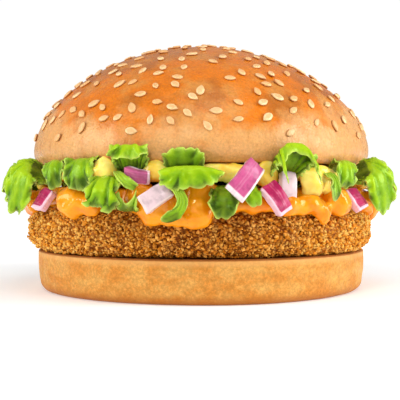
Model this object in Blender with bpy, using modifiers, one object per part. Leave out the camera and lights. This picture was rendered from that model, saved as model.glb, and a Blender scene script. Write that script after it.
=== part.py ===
"""A breaded chicken burger at real size, built as it is stacked: heel, patty, sauce, lettuce, onion, cheese, crown.

Lengths are in millimetres until a mesh is made. Heights are above the table. A place on the burger is an angle,
a radius and a height: angle 0 is the front (-Y), and angles grow towards +X.
"""

import math
import random
from collections import namedtuple

import bmesh
import bpy
from mathutils import Matrix, Vector, noise

MM = 0.001
GAP = 0.3  # kept between pieces that touch
SOFT_GAP = 1.05  # cut round a soft layer's neighbours, before it is healed and thinned
VOXEL = 0.7

# The bun: a crown 104 mm across on a heel of nearly the same size
CROWN_RADIUS = 51.9
CROWN_BASE = 37.0
CROWN_WAIST = 41.5  # height at which the crown is widest
CROWN_TOP = 74.2
CROWN_RIM_RADIUS = 50.0
DOME_POWER = 1.8  # 2 would be an ellipse
HEEL_HEIGHT = 12.0
HEEL_RADIUS = 50.6
HEEL_FOOT_RADIUS = 50.0
HEEL_CORNER = 2.6
HEEL_EDGE = 0.7  # chamfer round the heel's top
DOME_RINGS = 10
BUN_STEPS = 44
BUN_WOBBLE = 0.35

# Sesame seeds: the larger third of those on a crown, at every second place of an even spiral
SEED_PLACES = 176
SEED_EVERY = 2
SEED_LENGTH = 3.3
SEED_WIDTH = 2.0
SEED_DEPTH = 1.1
SEED_LOWEST_SHARE = 0.93  # share of the dome's area, from its top down, that carries seeds
SEED_PROUD = 0.12  # how far a seed's middle lies above the crust, as a share of its depth

# The breaded patty, a rounded disc with a craggy side
PATTY_RADIUS = 52.6
PATTY_BASE = HEEL_HEIGHT + GAP
PATTY_TOP = 25.0
PATTY_FLAT_RADIUS = 46.5
PATTY_STEPS = 52
PATTY_RINGS = 10
CRAG = 0.88  # how far the crust's crags rise and sink
CRAG_SPACING = 3.4
PATTY_SWELL = 0.35  # how far the whole side swells and sinks

# The soft layers: sauce on the patty, melted cheese under the crown
SAUCE_BASE = PATTY_TOP + GAP
SAUCE_TOP = 29.9
SAUCE_RADIUS = 50.2
SAUCE_TRIANGLES = 1500
CHEESE_BASE = 33.2
CHEESE_TOP = CROWN_BASE - GAP
CHEESE_RADIUS = 48.2
CHEESE_TRIANGLES = 1100

# The lettuce: one leaf that lies right through, and pieces that stand out of the side
LEAF_THICKNESS = 0.7
LEAF_CELL = 4.3
LOBES = 0.03  # how far the lobes of a ruffled leaf's tip stand out, as a share of its length
ROOT_SHARE = 0.55  # a leaf's breadth at its root, as a share of its full breadth
CURVE_SHARE = 0.85  # length of a spine, as a share of the straight lines between its points
ARCH_POWER = 0.75  # below 1, a folded leaf is squarer than a half ellipse
BED_RADIUS = 43.0
BED_HEIGHT = 31.5
BED_WAVE = 0.7

ONION_THICKNESS = 2.1

# A leaf's spine runs from the root, between the layers, out to the tip, as four (angle, radius, height) points.
# Its breadth lies level and across the angle that it faces, then rolls about the spine. A fold bends its
# sides down.
Leaf = namedtuple("Leaf", "name spine width face roll fold ruffle waves phase taper")
Onion = namedtuple("Onion", "name angle radius height length width spin pitch turn")
Blob = namedtuple("Blob", "angle radius height half_width half_depth half_height")

# The right side's leaves, which the left side mirrors
OUTER_SPINE = ((61, 47, 31.8), (60, 56.5, 37.0), (56, 59.8, 39.0), (63.5, 59.2, 21.6))
MIDDLE_SPINE = ((80, 46.5, 31.6), (79, 54, 43.0), (79, 60, 37.5), (79, 58.6, 25.6))
INNER_SPINE = ((50, 46, 32.4), (49, 53, 42.6), (44.5, 57.4, 36.6), (44.5, 55.4, 29.6))
SIDE_LEAVES = (
    Leaf("outer", OUTER_SPINE, 9.5, 90, 56, 0.8, 1.1, 2.6, 0.4, 0.15),
    Leaf("middle", MIDDLE_SPINE, 17.0, 80, 0, 1.2, 1.5, 2.4, 1.1, 0.2),
    Leaf("inner", INNER_SPINE, 6.8, 34, 0, 0.6, 0.8, 1.5, 0.8, 0.2),
)

# The front's leaves, from left to right
BEHIND_SPINE = ((-36, 46, 32.4), (-36, 53, 43.0), (-35, 57, 37.2), (-36, 54.6, 28.8))
HOOD_LEFT_SPINE = ((-21, 46, 32.4), (-20, 54, 33.4), (-19, 54.6, 48.6), (-18.6, 57.6, 36.6))
STRIP_SPINE = ((-24.2, 53, 34.6), (-20.4, 58.4, 34.0), (-18.0, 58.4, 31.0), (-15.6, 56.8, 30.8))
HUMP_SPINE = ((-26.6, 46.5, 30.6), (-25.8, 55, 36.6), (-24.2, 62, 31.0), (-26.0, 58.8, 24.6))
POCKET_SPINE = ((-19.7, 50.6, 24.8), (-19.2, 56.2, 23.8), (-18.7, 58.1, 26.0), (-19.0, 57.3, 29.4))
FLAP_SPINE = ((-4.6, 47, 34.4), (-4.6, 50.4, 34.8), (-4.4, 53.4, 36.8), (-4.6, 53.6, 41.0))
SADDLE_SPINE = ((-2.6, 46, 30.4), (-3.0, 54, 34.6), (-2.6, 60.6, 40.6), (-1.4, 59, 29.2))
TAIL_SPINE = ((-8.2, 57.4, 31.6), (-2.6, 59, 29.4), (-2.8, 59.6, 23.4), (-10.5, 58.2, 22.2))
CUP_SPINE = ((6.6, 46.5, 31.0), (6.4, 54, 31.0), (5.8, 59.4, 26.0), (5.8, 56.6, 22.2))
TONGUE_SPINE = ((12.2, 47, 31.4), (11.8, 54, 33.2), (12.6, 58.6, 30.2), (15.0, 57.4, 25.4))
HOOD_RIGHT_SPINE = ((25.4, 46, 32.4), (25.2, 54, 33.4), (25.0, 54.8, 48.4), (25.0, 58.4, 38.4))
WISP_SPINE = ((34.0, 45, 32.8), (33.9, 50, 33.6), (33.7, 53.4, 35.4), (33.4, 53.8, 39.8))
SLIVER_SPINE = ((38.6, 47, 32.6), (40.5, 55.5, 37.4), (39.2, 58, 31.0), (37.7, 57, 26.4))
FRONT_LEAVES = (
    Leaf("lettuce_behind_left", BEHIND_SPINE, 9.4, -28, 0, 0.8, 0.9, 2.0, 2.2, 0.15),
    Leaf("lettuce_hood_left", HOOD_LEFT_SPINE, 9.6, -18, 0, 1.8, 0.5, 2.0, 0.6, 0.1),
    Leaf("lettuce_strip", STRIP_SPINE, 2.6, -20, 0, 0.3, 0.3, 1.5, 0.4, 0.1),
    Leaf("lettuce_hump", HUMP_SPINE, 8.2, -24, 0, 2.0, 0.9, 2.5, 2.6, 0.1),
    Leaf("lettuce_pocket", POCKET_SPINE, 5.7, -19, 0, -0.8, 0.4, 1.5, 0.2, -0.25),
    Leaf("lettuce_flap", FLAP_SPINE, 10.4, -4, 0, 0.6, 0.5, 2.0, 1.2, 0.1),
    Leaf("lettuce_saddle", SADDLE_SPINE, 15.4, -2, 0, 3.0, 0.5, 1.5, 0.5, 0.2),
    Leaf("lettuce_tail", TAIL_SPINE, 2.8, -5, 0, 0.3, 0.3, 1.0, 0.5, 0.15),
    Leaf("lettuce_cup", CUP_SPINE, 7.0, 6, 0, -2.4, 0.3, 1.0, 0.8, 0.2),
    Leaf("lettuce_tongue", TONGUE_SPINE, 4.4, 13, 0, 0.6, 0.3, 1.0, 0.9, 0.2),
    Leaf("lettuce_hood_right", HOOD_RIGHT_SPINE, 9.6, 25, 0, 9.0, 0.4, 2.0, 0.3, 0.0),
    Leaf("lettuce_wisp", WISP_SPINE, 4.6, 33, 0, -0.8, 0.3, 1.0, 0.9, 0.15),
    Leaf("lettuce_sliver", SLIVER_SPINE, 3.0, 38, 0, -0.6, 0.3, 1.0, 0.5, 0.1),
)

# Spines of the back's leaves, whose angles are counted from the leaf's own
HANGING = ((0, 46, 32.4), (0, 55, 41.0), (0, 58, 37.0), (0, 54.8, 29.2))
DROOPING = ((0, 46, 32.4), (0, 55.5, 43.0), (0, 60.5, 37.0), (2, 58.6, 23.6))
HOODED = ((0, 46, 32.4), (0, 54.4, 35.4), (0, 55.4, 44.6), (0, 59.4, 38.0))
BACK_SPINES = (HANGING, DROOPING, HOODED, DROOPING)
BACK_WIDTHS = (15, 19)
BACK_HOOD_WIDTHS = (10, 12)
BACK_FOLDS = (0.5, 3.0)
BACK_LEAVES = 8
BACK_FIRST_ANGLE = 102.0
BACK_LAST_ANGLE = 258.0

SIDE_ONION = Onion("side", 52.5, 54.6, 27.4, 6.8, 6.4, 8, -34, 0)
FRONT_ONIONS = (
    Onion("onion_small", -17.2, 54.0, 33.4, 6.6, 3.6, -12, 24, 0),
    Onion("onion_pale", -11.2, 57.0, 28.2, 8.0, 4.8, 33, -6, 0),
    Onion("onion_long", 11.4, 58.2, 32.6, 10.8, 5.4, 47, -14, 12),
    Onion("onion_bright", 19.9, 57.0, 27.8, 8.2, 4.9, -60, -16, 6),
    Onion("onion_hooded", 25.0, 53.6, 30.6, 7.8, 4.6, 84, -4, 0),
)
BACK_ONION_ANGLES = (104, 130.5, 155, 180, 204.5, 231)
BACK_ONION_RADIUS = 56.2
BACK_ONION_HEIGHT = 27.4
BACK_ONION_PITCH = -14

SAUCE_BLOBS = (
    Blob(-72, 51.4, 24.9, 5.4, 2.8, 2.7),
    Blob(-41, 51.8, 26.5, 6.0, 3.8, 4.7),
    Blob(-34, 51.4, 25.6, 3.6, 3.0, 3.2),
    Blob(-17, 51.5, 28.2, 5.0, 4.0, 4.6),
    Blob(-12, 52.0, 26.0, 6.0, 4.0, 5.4),
    Blob(-8, 53.2, 23.6, 4.4, 2.6, 3.5),
    Blob(-1, 53.0, 24.6, 4.8, 3.2, 4.5),
    Blob(0, 51.5, 28.8, 4.4, 3.5, 4.0),
    Blob(8, 51.8, 26.2, 5.0, 3.0, 3.2),
    Blob(16, 52.2, 26.6, 5.0, 3.2, 3.2),
    Blob(25, 52.2, 26.2, 5.0, 3.2, 3.2),
    Blob(33, 52.4, 26.2, 4.6, 3.3, 3.4),
    Blob(37.6, 53.4, 23.9, 2.8, 2.4, 3.7),
    Blob(45.4, 52.2, 26.8, 4.4, 3.7, 4.4),
    Blob(70, 51.4, 24.9, 5.4, 2.8, 2.7),
)
CHEESE_BLOBS = (
    Blob(-28.8, 52.2, 34.2, 4.4, 3.0, 4.3),
    Blob(-12.6, 51.0, 34.4, 3.8, 2.8, 3.4),
    Blob(4, 49.8, 34.6, 6.0, 2.2, 2.6),
    Blob(12, 50.0, 33.8, 6.0, 2.4, 3.2),
    Blob(19.6, 50.2, 34.0, 3.6, 2.6, 3.6),
    Blob(36, 50.4, 34.6, 5.6, 2.6, 2.6),
    Blob(35.4, 51.8, 31.4, 4.4, 3.2, 4.4),
    Blob(41.6, 51.0, 32.4, 3.4, 2.8, 4.0),
)
BACK_BLOB_FIRST = 80.0
BACK_BLOB_STEP = 12.5


def place(angle, radius, height):
    """The point at an angle in radians, a radius and a height."""
    return Vector((radius * math.sin(angle), -radius * math.cos(angle), height))


def tangent_frame(angle):
    """Axes of a piece that faces outwards: across to growing angles, up, and out."""
    outward = place(angle, 1, 0)
    return Matrix((place(angle + math.pi / 2, 1, 0), Vector((0, 0, 1)), outward)).transposed()


def clear_scene():
    for obj in list(bpy.data.objects):
        bpy.data.objects.remove(obj, do_unlink=True)


def new_collection(name):
    collection = bpy.data.collections.new(name)
    bpy.context.scene.collection.children.link(collection)
    return collection


def new_material(name, colour, roughness):
    material = bpy.data.materials.new(name)
    material.use_nodes = True
    shader = material.node_tree.nodes["Principled BSDF"]
    shader.inputs["Base Color"].default_value = (*colour, 1)
    shader.inputs["Roughness"].default_value = roughness
    shader.inputs["Metallic"].default_value = 0.0
    return material


def new_object(name, mesh, material, collection):
    obj = bpy.data.objects.new(name, mesh)
    obj.data.materials.append(material)
    collection.objects.link(obj)
    return obj


def mesh_from(bm, name):
    """A mesh in metres from a bmesh in millimetres."""
    bmesh.ops.scale(bm, vec=(MM, MM, MM), verts=bm.verts)
    mesh = bpy.data.meshes.new(name)
    bm.to_mesh(mesh)
    bm.free()
    return mesh


def applied(obj):
    """Puts what the modifiers make into the object's own mesh."""
    bpy.context.view_layer.update()
    graph = bpy.context.evaluated_depsgraph_get()
    mesh = bpy.data.meshes.new_from_object(obj.evaluated_get(graph))
    obj.modifiers.clear()
    obj.data = mesh
    return obj


def turned(name, profile, steps, material, collection):
    """A solid of revolution from a (radius, height) profile that runs down its outer side, from axis to axis."""
    bm = bmesh.new()
    points = [bm.verts.new((radius, 0, height)) for radius, height in profile]
    for above, below in zip(points, points[1:]):
        bm.edges.new((above, below))
    obj = new_object(name, mesh_from(bm, name), material, collection)
    screw = obj.modifiers.new("turn", "SCREW")
    screw.steps = screw.render_steps = steps
    screw.use_merge_vertices = True
    screw.merge_threshold = 0.05 * MM
    return applied(obj)


def move_points(obj, rule):
    """Moves each vertex to where rule sends it, in millimetres."""
    for vertex in obj.data.vertices:
        vertex.co = rule(vertex.co / MM) * MM
    obj.data.update()
    return obj


def wobble(point):
    """A baked bun is never quite round: its radius swells and sinks a little with the angle."""
    angle = math.atan2(point.x, -point.y)
    swell = math.sin(2 * angle + 0.7) + 0.6 * math.sin(3 * angle + 2.1) + 0.4 * math.sin(5 * angle)
    grow = 1 + BUN_WOBBLE * swell / CROWN_RADIUS
    return Vector((point.x * grow, point.y * grow, point.z))


def dome_profile(count):
    """(radius, height) points of the crown's outside, from its top to its widest ring."""
    rise = CROWN_TOP - CROWN_WAIST
    points = []
    for i in range(count + 1):
        turn = math.pi / 2 * (1 - i / count)
        radius = CROWN_RADIUS * max(0.0, math.cos(turn)) ** (2 / DOME_POWER)
        points.append((radius, CROWN_WAIST + rise * math.sin(turn) ** (2 / DOME_POWER)))
    points[0] = (0.0, CROWN_TOP)
    return points


def build_dome(material, collection):
    tuck = CROWN_WAIST - CROWN_BASE
    profile = dome_profile(DOME_RINGS)
    profile += [
        (CROWN_RADIUS - 0.25, CROWN_WAIST - 0.4 * tuck),
        (CROWN_RIM_RADIUS + 0.6, CROWN_BASE + 0.2 * tuck),
        (CROWN_RIM_RADIUS - 0.4, CROWN_BASE),
        (0, CROWN_BASE),
    ]
    return move_points(turned("crown", profile, BUN_STEPS, material, collection), wobble)


def seed_places():
    """(point, outward normal, spin) of every seed on the crown, on a spiral that covers the dome's area evenly."""
    profile = dome_profile(60)
    draw = random.Random(11)
    rings = list(zip(profile, profile[1:]))
    areas = [(a[0] + b[0]) * math.dist(a, b) for a, b in rings]
    golden = math.pi * (3 - math.sqrt(5))
    places = []
    for i in range(SEED_PLACES):
        share = SEED_LOWEST_SHARE * (i + 0.5 + draw.uniform(-2, 2)) / SEED_PLACES
        wanted = max(0.001, share) * sum(areas)
        ring = 0
        while ring < len(areas) - 1 and wanted > areas[ring]:
            wanted -= areas[ring]
            ring += 1
        (r0, z0), (r1, z1) = rings[ring]
        part = min(1.0, wanted / areas[ring])
        radius, height = r0 + (r1 - r0) * part, z0 + (z1 - z0) * part
        angle = i * golden + draw.uniform(-0.12, 0.12)
        down = Vector((r1 - r0, 0, z1 - z0)).normalized()
        normal = place(angle, -down.z, down.x)
        point = wobble(place(angle, radius, height))
        places.append((point, normal, draw.uniform(0, 2 * math.pi)))
    return places


def build_seed(point, normal, spin, material, collection):
    """A flat teardrop, a third sunk in the crust."""
    bm = bmesh.new()
    bmesh.ops.create_icosphere(bm, subdivisions=1, radius=0.5)
    for vertex in bm.verts:
        taper = 1 - 0.45 * max(0.0, 2 * vertex.co.x) ** 1.5
        vertex.co = Vector((vertex.co.x * SEED_LENGTH, vertex.co.y * SEED_WIDTH * taper, vertex.co.z * SEED_DEPTH))
    rest = normal.to_track_quat("Z", "Y").to_matrix() @ Matrix.Rotation(spin, 3, "Z")
    where = point + normal * SEED_DEPTH * SEED_PROUD
    bmesh.ops.transform(bm, matrix=Matrix.Translation(where) @ rest.to_4x4(), verts=bm.verts)
    return new_object("seed", mesh_from(bm, "seed"), material, collection)


def fuse_seeds(crown, material):
    """Joins the seeds to the crown with one union, and removes their own objects."""
    seeds = new_collection("seeds")
    for point, normal, spin in seed_places()[::SEED_EVERY]:
        build_seed(point, normal, spin, material, seeds)
    join = crown.modifiers.new("fuse_seeds", "BOOLEAN")
    join.operation = "UNION"
    join.operand_type = "COLLECTION"
    join.collection = seeds
    applied(crown)
    for obj in list(seeds.objects):
        bpy.data.objects.remove(obj, do_unlink=True)
    bpy.data.collections.remove(seeds)
    return crown


def build_heel(material, collection):
    corner = []
    for i in range(4):
        turn = math.pi / 2 * i / 3
        corner.append(
            (
                HEEL_FOOT_RADIUS - HEEL_CORNER * (1 - math.cos(turn)),
                HEEL_CORNER * (1 - math.sin(turn)),
            )
        )
    profile = [(0, HEEL_HEIGHT), (HEEL_RADIUS - HEEL_EDGE, HEEL_HEIGHT), (HEEL_RADIUS, HEEL_HEIGHT - HEEL_EDGE)]
    profile += [(HEEL_RADIUS - 0.1, HEEL_HEIGHT / 2), *corner, (0, 0)]
    return move_points(turned("heel", profile, BUN_STEPS, material, collection), wobble)


def crag(point):
    """Crags of the breaded crust: the side is pushed in and out, and the flat faces stay flat."""
    radius = math.hypot(point.x, point.y)
    edge = min(1.0, max(0.0, (radius - PATTY_FLAT_RADIUS) / 3))
    rough = noise.noise(point / CRAG_SPACING) + 0.6 * noise.noise(point / (CRAG_SPACING / 2.3))
    swell = PATTY_SWELL * math.sin(3 * math.atan2(point.x, point.y) + 1.3)
    push = edge * (CRAG * rough + swell)
    height = point.z + push * (point.z - (PATTY_TOP + PATTY_BASE) / 2) / (PATTY_TOP - PATTY_BASE)
    height = min(PATTY_TOP, max(PATTY_BASE, height))
    return Vector((point.x * (1 + push / radius), point.y * (1 + push / radius), height)) if edge else point


def build_patty(material, collection):
    middle = (PATTY_TOP + PATTY_BASE) / 2
    half = (PATTY_TOP - PATTY_BASE) / 2
    bulge = PATTY_RADIUS - PATTY_FLAT_RADIUS
    profile = [(0, PATTY_TOP), (PATTY_FLAT_RADIUS - 4, PATTY_TOP)]
    for i in range(PATTY_RINGS + 1):
        turn = math.pi / 2 - math.pi * i / PATTY_RINGS
        across = math.copysign(abs(math.sin(turn)) ** 0.85, turn)
        profile.append((PATTY_FLAT_RADIUS + bulge * abs(math.cos(turn)) ** 0.75, middle + half * across))
    profile += [(PATTY_FLAT_RADIUS - 4, PATTY_BASE), (0, PATTY_BASE)]
    return move_points(turned("patty", profile, PATTY_STEPS, material, collection), crag)


def spine_at(spine, along):
    """The point and the direction at a share of a leaf's spine."""
    points = [place(math.radians(angle), radius, height) for angle, radius, height in spine]
    steps = [b - a for a, b in zip(points, points[1:])]
    weights = [(1 - along) ** 3, 3 * along * (1 - along) ** 2, 3 * along**2 * (1 - along), along**3]
    slopes = [(1 - along) ** 2, 2 * along * (1 - along), along**2]
    point = sum((weight * p for weight, p in zip(weights, points)), Vector())
    direction = sum((slope * step for slope, step in zip(slopes, steps)), Vector())
    return point, direction.normalized()


def leaf_axes(leaf, direction, reach):
    """The breadth and the normal of a leaf where its spine runs in a direction. It is fully rolled half way."""
    level = place(math.radians(leaf.face + 90), 1, 0)
    level = (level - direction * level.dot(direction)).normalized()
    raised = direction.cross(level)
    roll = math.radians(leaf.roll) * math.sin(math.pi / 2 * min(1.0, 2 * reach))
    breadth = level * math.cos(roll) + raised * math.sin(roll)
    return breadth, direction.cross(breadth)


def leaf_point(leaf, across, along):
    """A point of a leaf's middle surface. across runs from -1 to 1, and along from 0 at the root to 1."""
    lobes = LOBES * leaf.ruffle * math.sin(2 * leaf.waves * math.pi * across + leaf.phase)
    hollow = leaf.taper * (abs(across) ** 3 if leaf.taper > 0 else across**2 - 1)
    reach = along * (0.96 - hollow + lobes)
    point, direction = spine_at(leaf.spine, reach)
    breadth, normal = leaf_axes(leaf, direction, reach)
    chord = (spine_at(leaf.spine, 1)[0] - spine_at(leaf.spine, 0)[0]).normalized()
    down = -leaf_axes(leaf, chord, 1)[1]
    grown = ROOT_SHARE + (1 - ROOT_SHARE) * math.sin(math.pi / 2 * min(1.0, 2 * reach))
    arched = min(1.0, abs(leaf.fold) / leaf.width)
    swing = across * math.pi / 2
    sideways = (1 - arched) * across + arched * math.copysign(abs(math.sin(swing)) ** ARCH_POWER, across)
    fall = leaf.fold * reach * (1 - math.cos(swing) ** ARCH_POWER)
    tip_frill = reach * (0.35 + 0.65 * across**2) * math.sin(leaf.waves * math.pi * across + leaf.phase)
    side_frill = 0.6 * abs(across) ** 3 * math.sin(3 * math.pi * along + leaf.phase)
    lift = leaf.ruffle * (tip_frill + side_frill)
    return point + breadth * (leaf.width / 2 * grown * sideways) + normal * lift + down * fall


def build_leaf(leaf, material, collection):
    """A thin wavy solid. Its middle surface is cut into triangles first, so that both faces are alike."""
    ends = [place(math.radians(angle), radius, height) for angle, radius, height in leaf.spine]
    length = CURVE_SHARE * sum((b - a).length for a, b in zip(ends, ends[1:]))
    across_cells = max(4, round((leaf.width + 1.2 * abs(leaf.fold) + 4 * leaf.ruffle) / LEAF_CELL))
    along_cells = max(4, round(length / LEAF_CELL))
    bm = bmesh.new()
    bmesh.ops.create_grid(bm, x_segments=across_cells, y_segments=along_cells, size=1)
    for vertex in bm.verts:
        vertex.co = leaf_point(leaf, vertex.co.x, (vertex.co.y + 1) / 2)
    bmesh.ops.triangulate(bm, faces=bm.faces)
    return thickened(new_object(leaf.name, mesh_from(bm, leaf.name), material, collection))


def thickened(obj):
    solidify = obj.modifiers.new("thickness", "SOLIDIFY")
    solidify.thickness = LEAF_THICKNESS * MM
    solidify.offset = 0
    return applied(obj)


def build_lettuce_bed(material, collection):
    """The leaf that lies right through the burger, between the sauce and the cheese."""
    bm = bmesh.new()
    bmesh.ops.create_grid(bm, x_segments=8, y_segments=8, size=1)
    for vertex in bm.verts:
        across, along = vertex.co.x, vertex.co.y
        x = across * math.sqrt(1 - along**2 / 2)
        y = along * math.sqrt(1 - across**2 / 2)
        wave = math.sin(7 * x + 1.5 * math.sin(4 * y)) * math.cos(6 * y)
        vertex.co = Vector((BED_RADIUS * x, BED_RADIUS * y, BED_HEIGHT + BED_WAVE * wave))
    bmesh.ops.triangulate(bm, faces=bm.faces)
    return thickened(new_object("lettuce_bed", mesh_from(bm, "lettuce_bed"), material, collection))


def side_leaves(sign, side):
    """The leaves of the left (-1) or right (+1) side, which mirror each other."""
    return [
        leaf._replace(
            name=f"lettuce_{side}_{leaf.name}",
            spine=tuple((sign * angle, radius, height) for angle, radius, height in leaf.spine),
            face=sign * leaf.face,
            roll=sign * leaf.roll,
            waves=sign * leaf.waves,
        )
        for leaf in SIDE_LEAVES
    ]


def back_leaves():
    """Leaves round the back, where the photographed kinds repeat with other sizes."""
    draw = random.Random(5)
    step = (BACK_LAST_ANGLE - BACK_FIRST_ANGLE) / (BACK_LEAVES - 1)
    leaves = []
    for i in range(BACK_LEAVES):
        kind = BACK_SPINES[i % len(BACK_SPINES)]
        hooded = kind is HOODED
        middle = BACK_FIRST_ANGLE + i * step
        drop = draw.uniform(-1.5, 2.5)
        spine = [(middle + angle, radius, height) for angle, radius, height in kind]
        spine[-1] = (middle + draw.uniform(-3, 3), spine[-1][1], spine[-1][2] + (0 if hooded else drop))
        leaves.append(
            Leaf(
                f"lettuce_back_{i + 1}",
                tuple(spine),
                draw.uniform(*(BACK_HOOD_WIDTHS if hooded else BACK_WIDTHS)),
                middle + draw.uniform(-12, 12),
                0,
                BACK_FOLDS[1] if hooded else draw.uniform(*BACK_FOLDS),
                draw.uniform(0.7, 1.1),
                draw.uniform(1.5, 3),
                draw.uniform(0, 3),
                0.2,
            )
        )
    return leaves


def build_onion(onion, material, collection):
    """A diced piece of onion layer: a slab that follows the curve of its bulb and narrows to one end."""
    bm = bmesh.new()
    bmesh.ops.create_cube(bm, size=1)
    for cut in (-0.25, 0.0, 0.25):
        faces = bm.faces[:] + bm.edges[:] + bm.verts[:]
        bmesh.ops.bisect_plane(bm, geom=faces, plane_co=(cut, 0, 0), plane_no=(1, 0, 0))
    bulb = 1.3 * onion.length
    for vertex in bm.verts:
        turn = vertex.co.x * onion.length / bulb
        depth = bulb + vertex.co.z * ONION_THICKNESS
        width = onion.width * (1 - 0.16 * vertex.co.x)
        vertex.co = Vector((depth * math.sin(turn), vertex.co.y * width, depth * math.cos(turn) - bulb))
    angle = math.radians(onion.angle)
    turned_by = (
        Matrix.Rotation(math.radians(onion.turn), 3, "Y")
        @ Matrix.Rotation(math.radians(onion.pitch), 3, "X")
        @ Matrix.Rotation(math.radians(onion.spin), 3, "Z")
    )
    rest = (tangent_frame(angle) @ turned_by).to_4x4()
    centre = place(angle, onion.radius, onion.height)
    bmesh.ops.transform(bm, matrix=Matrix.Translation(centre) @ rest, verts=bm.verts)
    return new_object(onion.name, mesh_from(bm, onion.name), material, collection)


def all_onions():
    draw = random.Random(3)
    left = SIDE_ONION._replace(name="onion_left", angle=-SIDE_ONION.angle, spin=-SIDE_ONION.spin)
    right = SIDE_ONION._replace(name="onion_right")
    onions = [left, *FRONT_ONIONS, right]
    for i, angle in enumerate(BACK_ONION_ANGLES):
        onions.append(
            Onion(
                f"onion_back_{i + 1}",
                angle,
                BACK_ONION_RADIUS,
                BACK_ONION_HEIGHT + draw.uniform(-0.6, 0.6),
                draw.uniform(7, 9),
                draw.uniform(4.8, 5.8),
                draw.uniform(-70, 70),
                BACK_ONION_PITCH,
                draw.uniform(-8, 8),
            )
        )
    return onions


def back_blobs(seed, radius, height, half_height):
    """Bulges of a soft layer round the back, where none was photographed."""
    draw = random.Random(seed)
    blobs = []
    angle = BACK_BLOB_FIRST
    while angle <= 360 - BACK_BLOB_FIRST:
        blobs.append(
            Blob(
                angle + draw.uniform(-3, 3),
                radius + draw.uniform(-0.4, 0.6),
                height + draw.uniform(-1.4, 0.4),
                draw.uniform(4.2, 6.0),
                draw.uniform(2.4, 3.2),
                half_height * draw.uniform(0.85, 1.3),
            )
        )
        angle += BACK_BLOB_STEP
    return blobs


def clearance(obj, collection):
    """A copy of a piece grown by the gap, to cut its neighbours with."""
    grown = bpy.data.objects.new(obj.name + "_clearance", obj.data.copy())
    collection.objects.link(grown)
    grown.hide_render = True
    grown.display_type = "WIRE"
    push = grown.modifiers.new("grow", "DISPLACE")
    push.mid_level = 0
    push.strength = SOFT_GAP * MM
    return applied(grown)


def soft_layer(name, disc, blobs, cutters, triangles, material, collection):
    """A soft layer: a (base, top, radius) disc and its bulges, run together and cut round its neighbours."""
    base, top, radius = disc
    bm = bmesh.new()
    centre = Matrix.Translation((0, 0, (base + top) / 2))
    bmesh.ops.create_cone(
        bm, cap_ends=True, segments=96, radius1=radius, radius2=radius, depth=top - base, matrix=centre
    )
    for blob in blobs:
        angle = math.radians(blob.angle)
        size = Matrix.Diagonal((blob.half_width, blob.half_height, blob.half_depth, 1))
        rest = Matrix.Translation(place(angle, blob.radius, blob.height)) @ tangent_frame(angle).to_4x4()
        bmesh.ops.create_uvsphere(bm, u_segments=20, v_segments=12, radius=1, matrix=rest @ size)
    obj = new_object(name, mesh_from(bm, name), material, collection)
    remesh(obj, "merge")
    relax = obj.modifiers.new("relax", "SMOOTH")
    relax.factor = 0.5
    relax.iterations = 8
    cut = obj.modifiers.new("fit", "BOOLEAN")
    cut.operation = "DIFFERENCE"
    cut.solver = "MANIFOLD"
    cut.operand_type = "COLLECTION"
    cut.collection = cutters
    remesh(obj, "heal")
    keep_largest(applied(obj))
    thin = obj.modifiers.new("thin", "DECIMATE")
    thin.ratio = triangles / (2 * len(obj.data.polygons))
    return applied(obj)


def remesh(obj, name):
    voxels = obj.modifiers.new(name, "REMESH")
    voxels.mode = "VOXEL"
    voxels.voxel_size = VOXEL * MM
    return obj


def keep_largest(obj):
    """Drops the scraps that a cut leaves loose."""
    bm = bmesh.new()
    bm.from_mesh(obj.data)
    islands = []
    left = set(bm.verts)
    while left:
        island, front = set(), {left.pop()}
        while front:
            vertex = front.pop()
            island.add(vertex)
            linked = {edge.other_vert(vertex) for edge in vertex.link_edges} & left
            left -= linked
            front |= linked
        islands.append(island)
    largest = max(islands, key=len)
    bmesh.ops.delete(bm, geom=[v for v in bm.verts if v not in largest], context="VERTS")
    bm.to_mesh(obj.data)
    bm.free()
    return obj


def build_burger():
    clear_scene()
    parts = new_collection("chicken_burger")
    cheese_cutters = new_collection("cheese_clearances")
    sauce_cutters = new_collection("sauce_clearances")

    bread = new_material("bread", (0.74, 0.33, 0.10), 0.45)
    crust = new_material("crust", (0.56, 0.24, 0.05), 0.7)
    green = new_material("lettuce", (0.24, 0.46, 0.02), 0.35)
    purple = new_material("onion", (0.58, 0.10, 0.22), 0.3)
    yellow = new_material("cheese", (0.95, 0.68, 0.16), 0.3)
    orange = new_material("sauce", (0.90, 0.38, 0.04), 0.22)

    build_heel(bread, parts)
    patty = build_patty(crust, parts)
    crown = build_dome(bread, parts)
    clearance(patty, sauce_cutters)
    clearance(crown, cheese_cutters)
    fuse_seeds(crown, bread)

    leaves = [*side_leaves(-1, "left"), *FRONT_LEAVES, *side_leaves(1, "right"), *back_leaves()]
    pieces = [build_leaf(leaf, green, parts) for leaf in leaves]
    pieces += [build_onion(onion, purple, parts) for onion in all_onions()]
    pieces.append(build_lettuce_bed(green, parts))
    for piece in pieces:
        grown = clearance(piece, cheese_cutters)
        sauce_cutters.objects.link(grown)

    blobs = [*CHEESE_BLOBS, *back_blobs(seed=8, radius=49.8, height=34.2, half_height=3.3)]
    disc = (CHEESE_BASE, CHEESE_TOP, CHEESE_RADIUS)
    cheese = soft_layer("cheese", disc, blobs, cheese_cutters, CHEESE_TRIANGLES, yellow, parts)
    clearance(cheese, sauce_cutters)

    blobs = [*SAUCE_BLOBS, *back_blobs(seed=2, radius=52.0, height=26.8, half_height=4.0)]
    disc = (SAUCE_BASE, SAUCE_TOP, SAUCE_RADIUS)
    soft_layer("sauce", disc, blobs, sauce_cutters, SAUCE_TRIANGLES, orange, parts)

    for obj in parts.objects:
        obj.data.shade_smooth()
        obj.data.set_sharp_from_angle(angle=math.radians(40))


build_burger()
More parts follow.
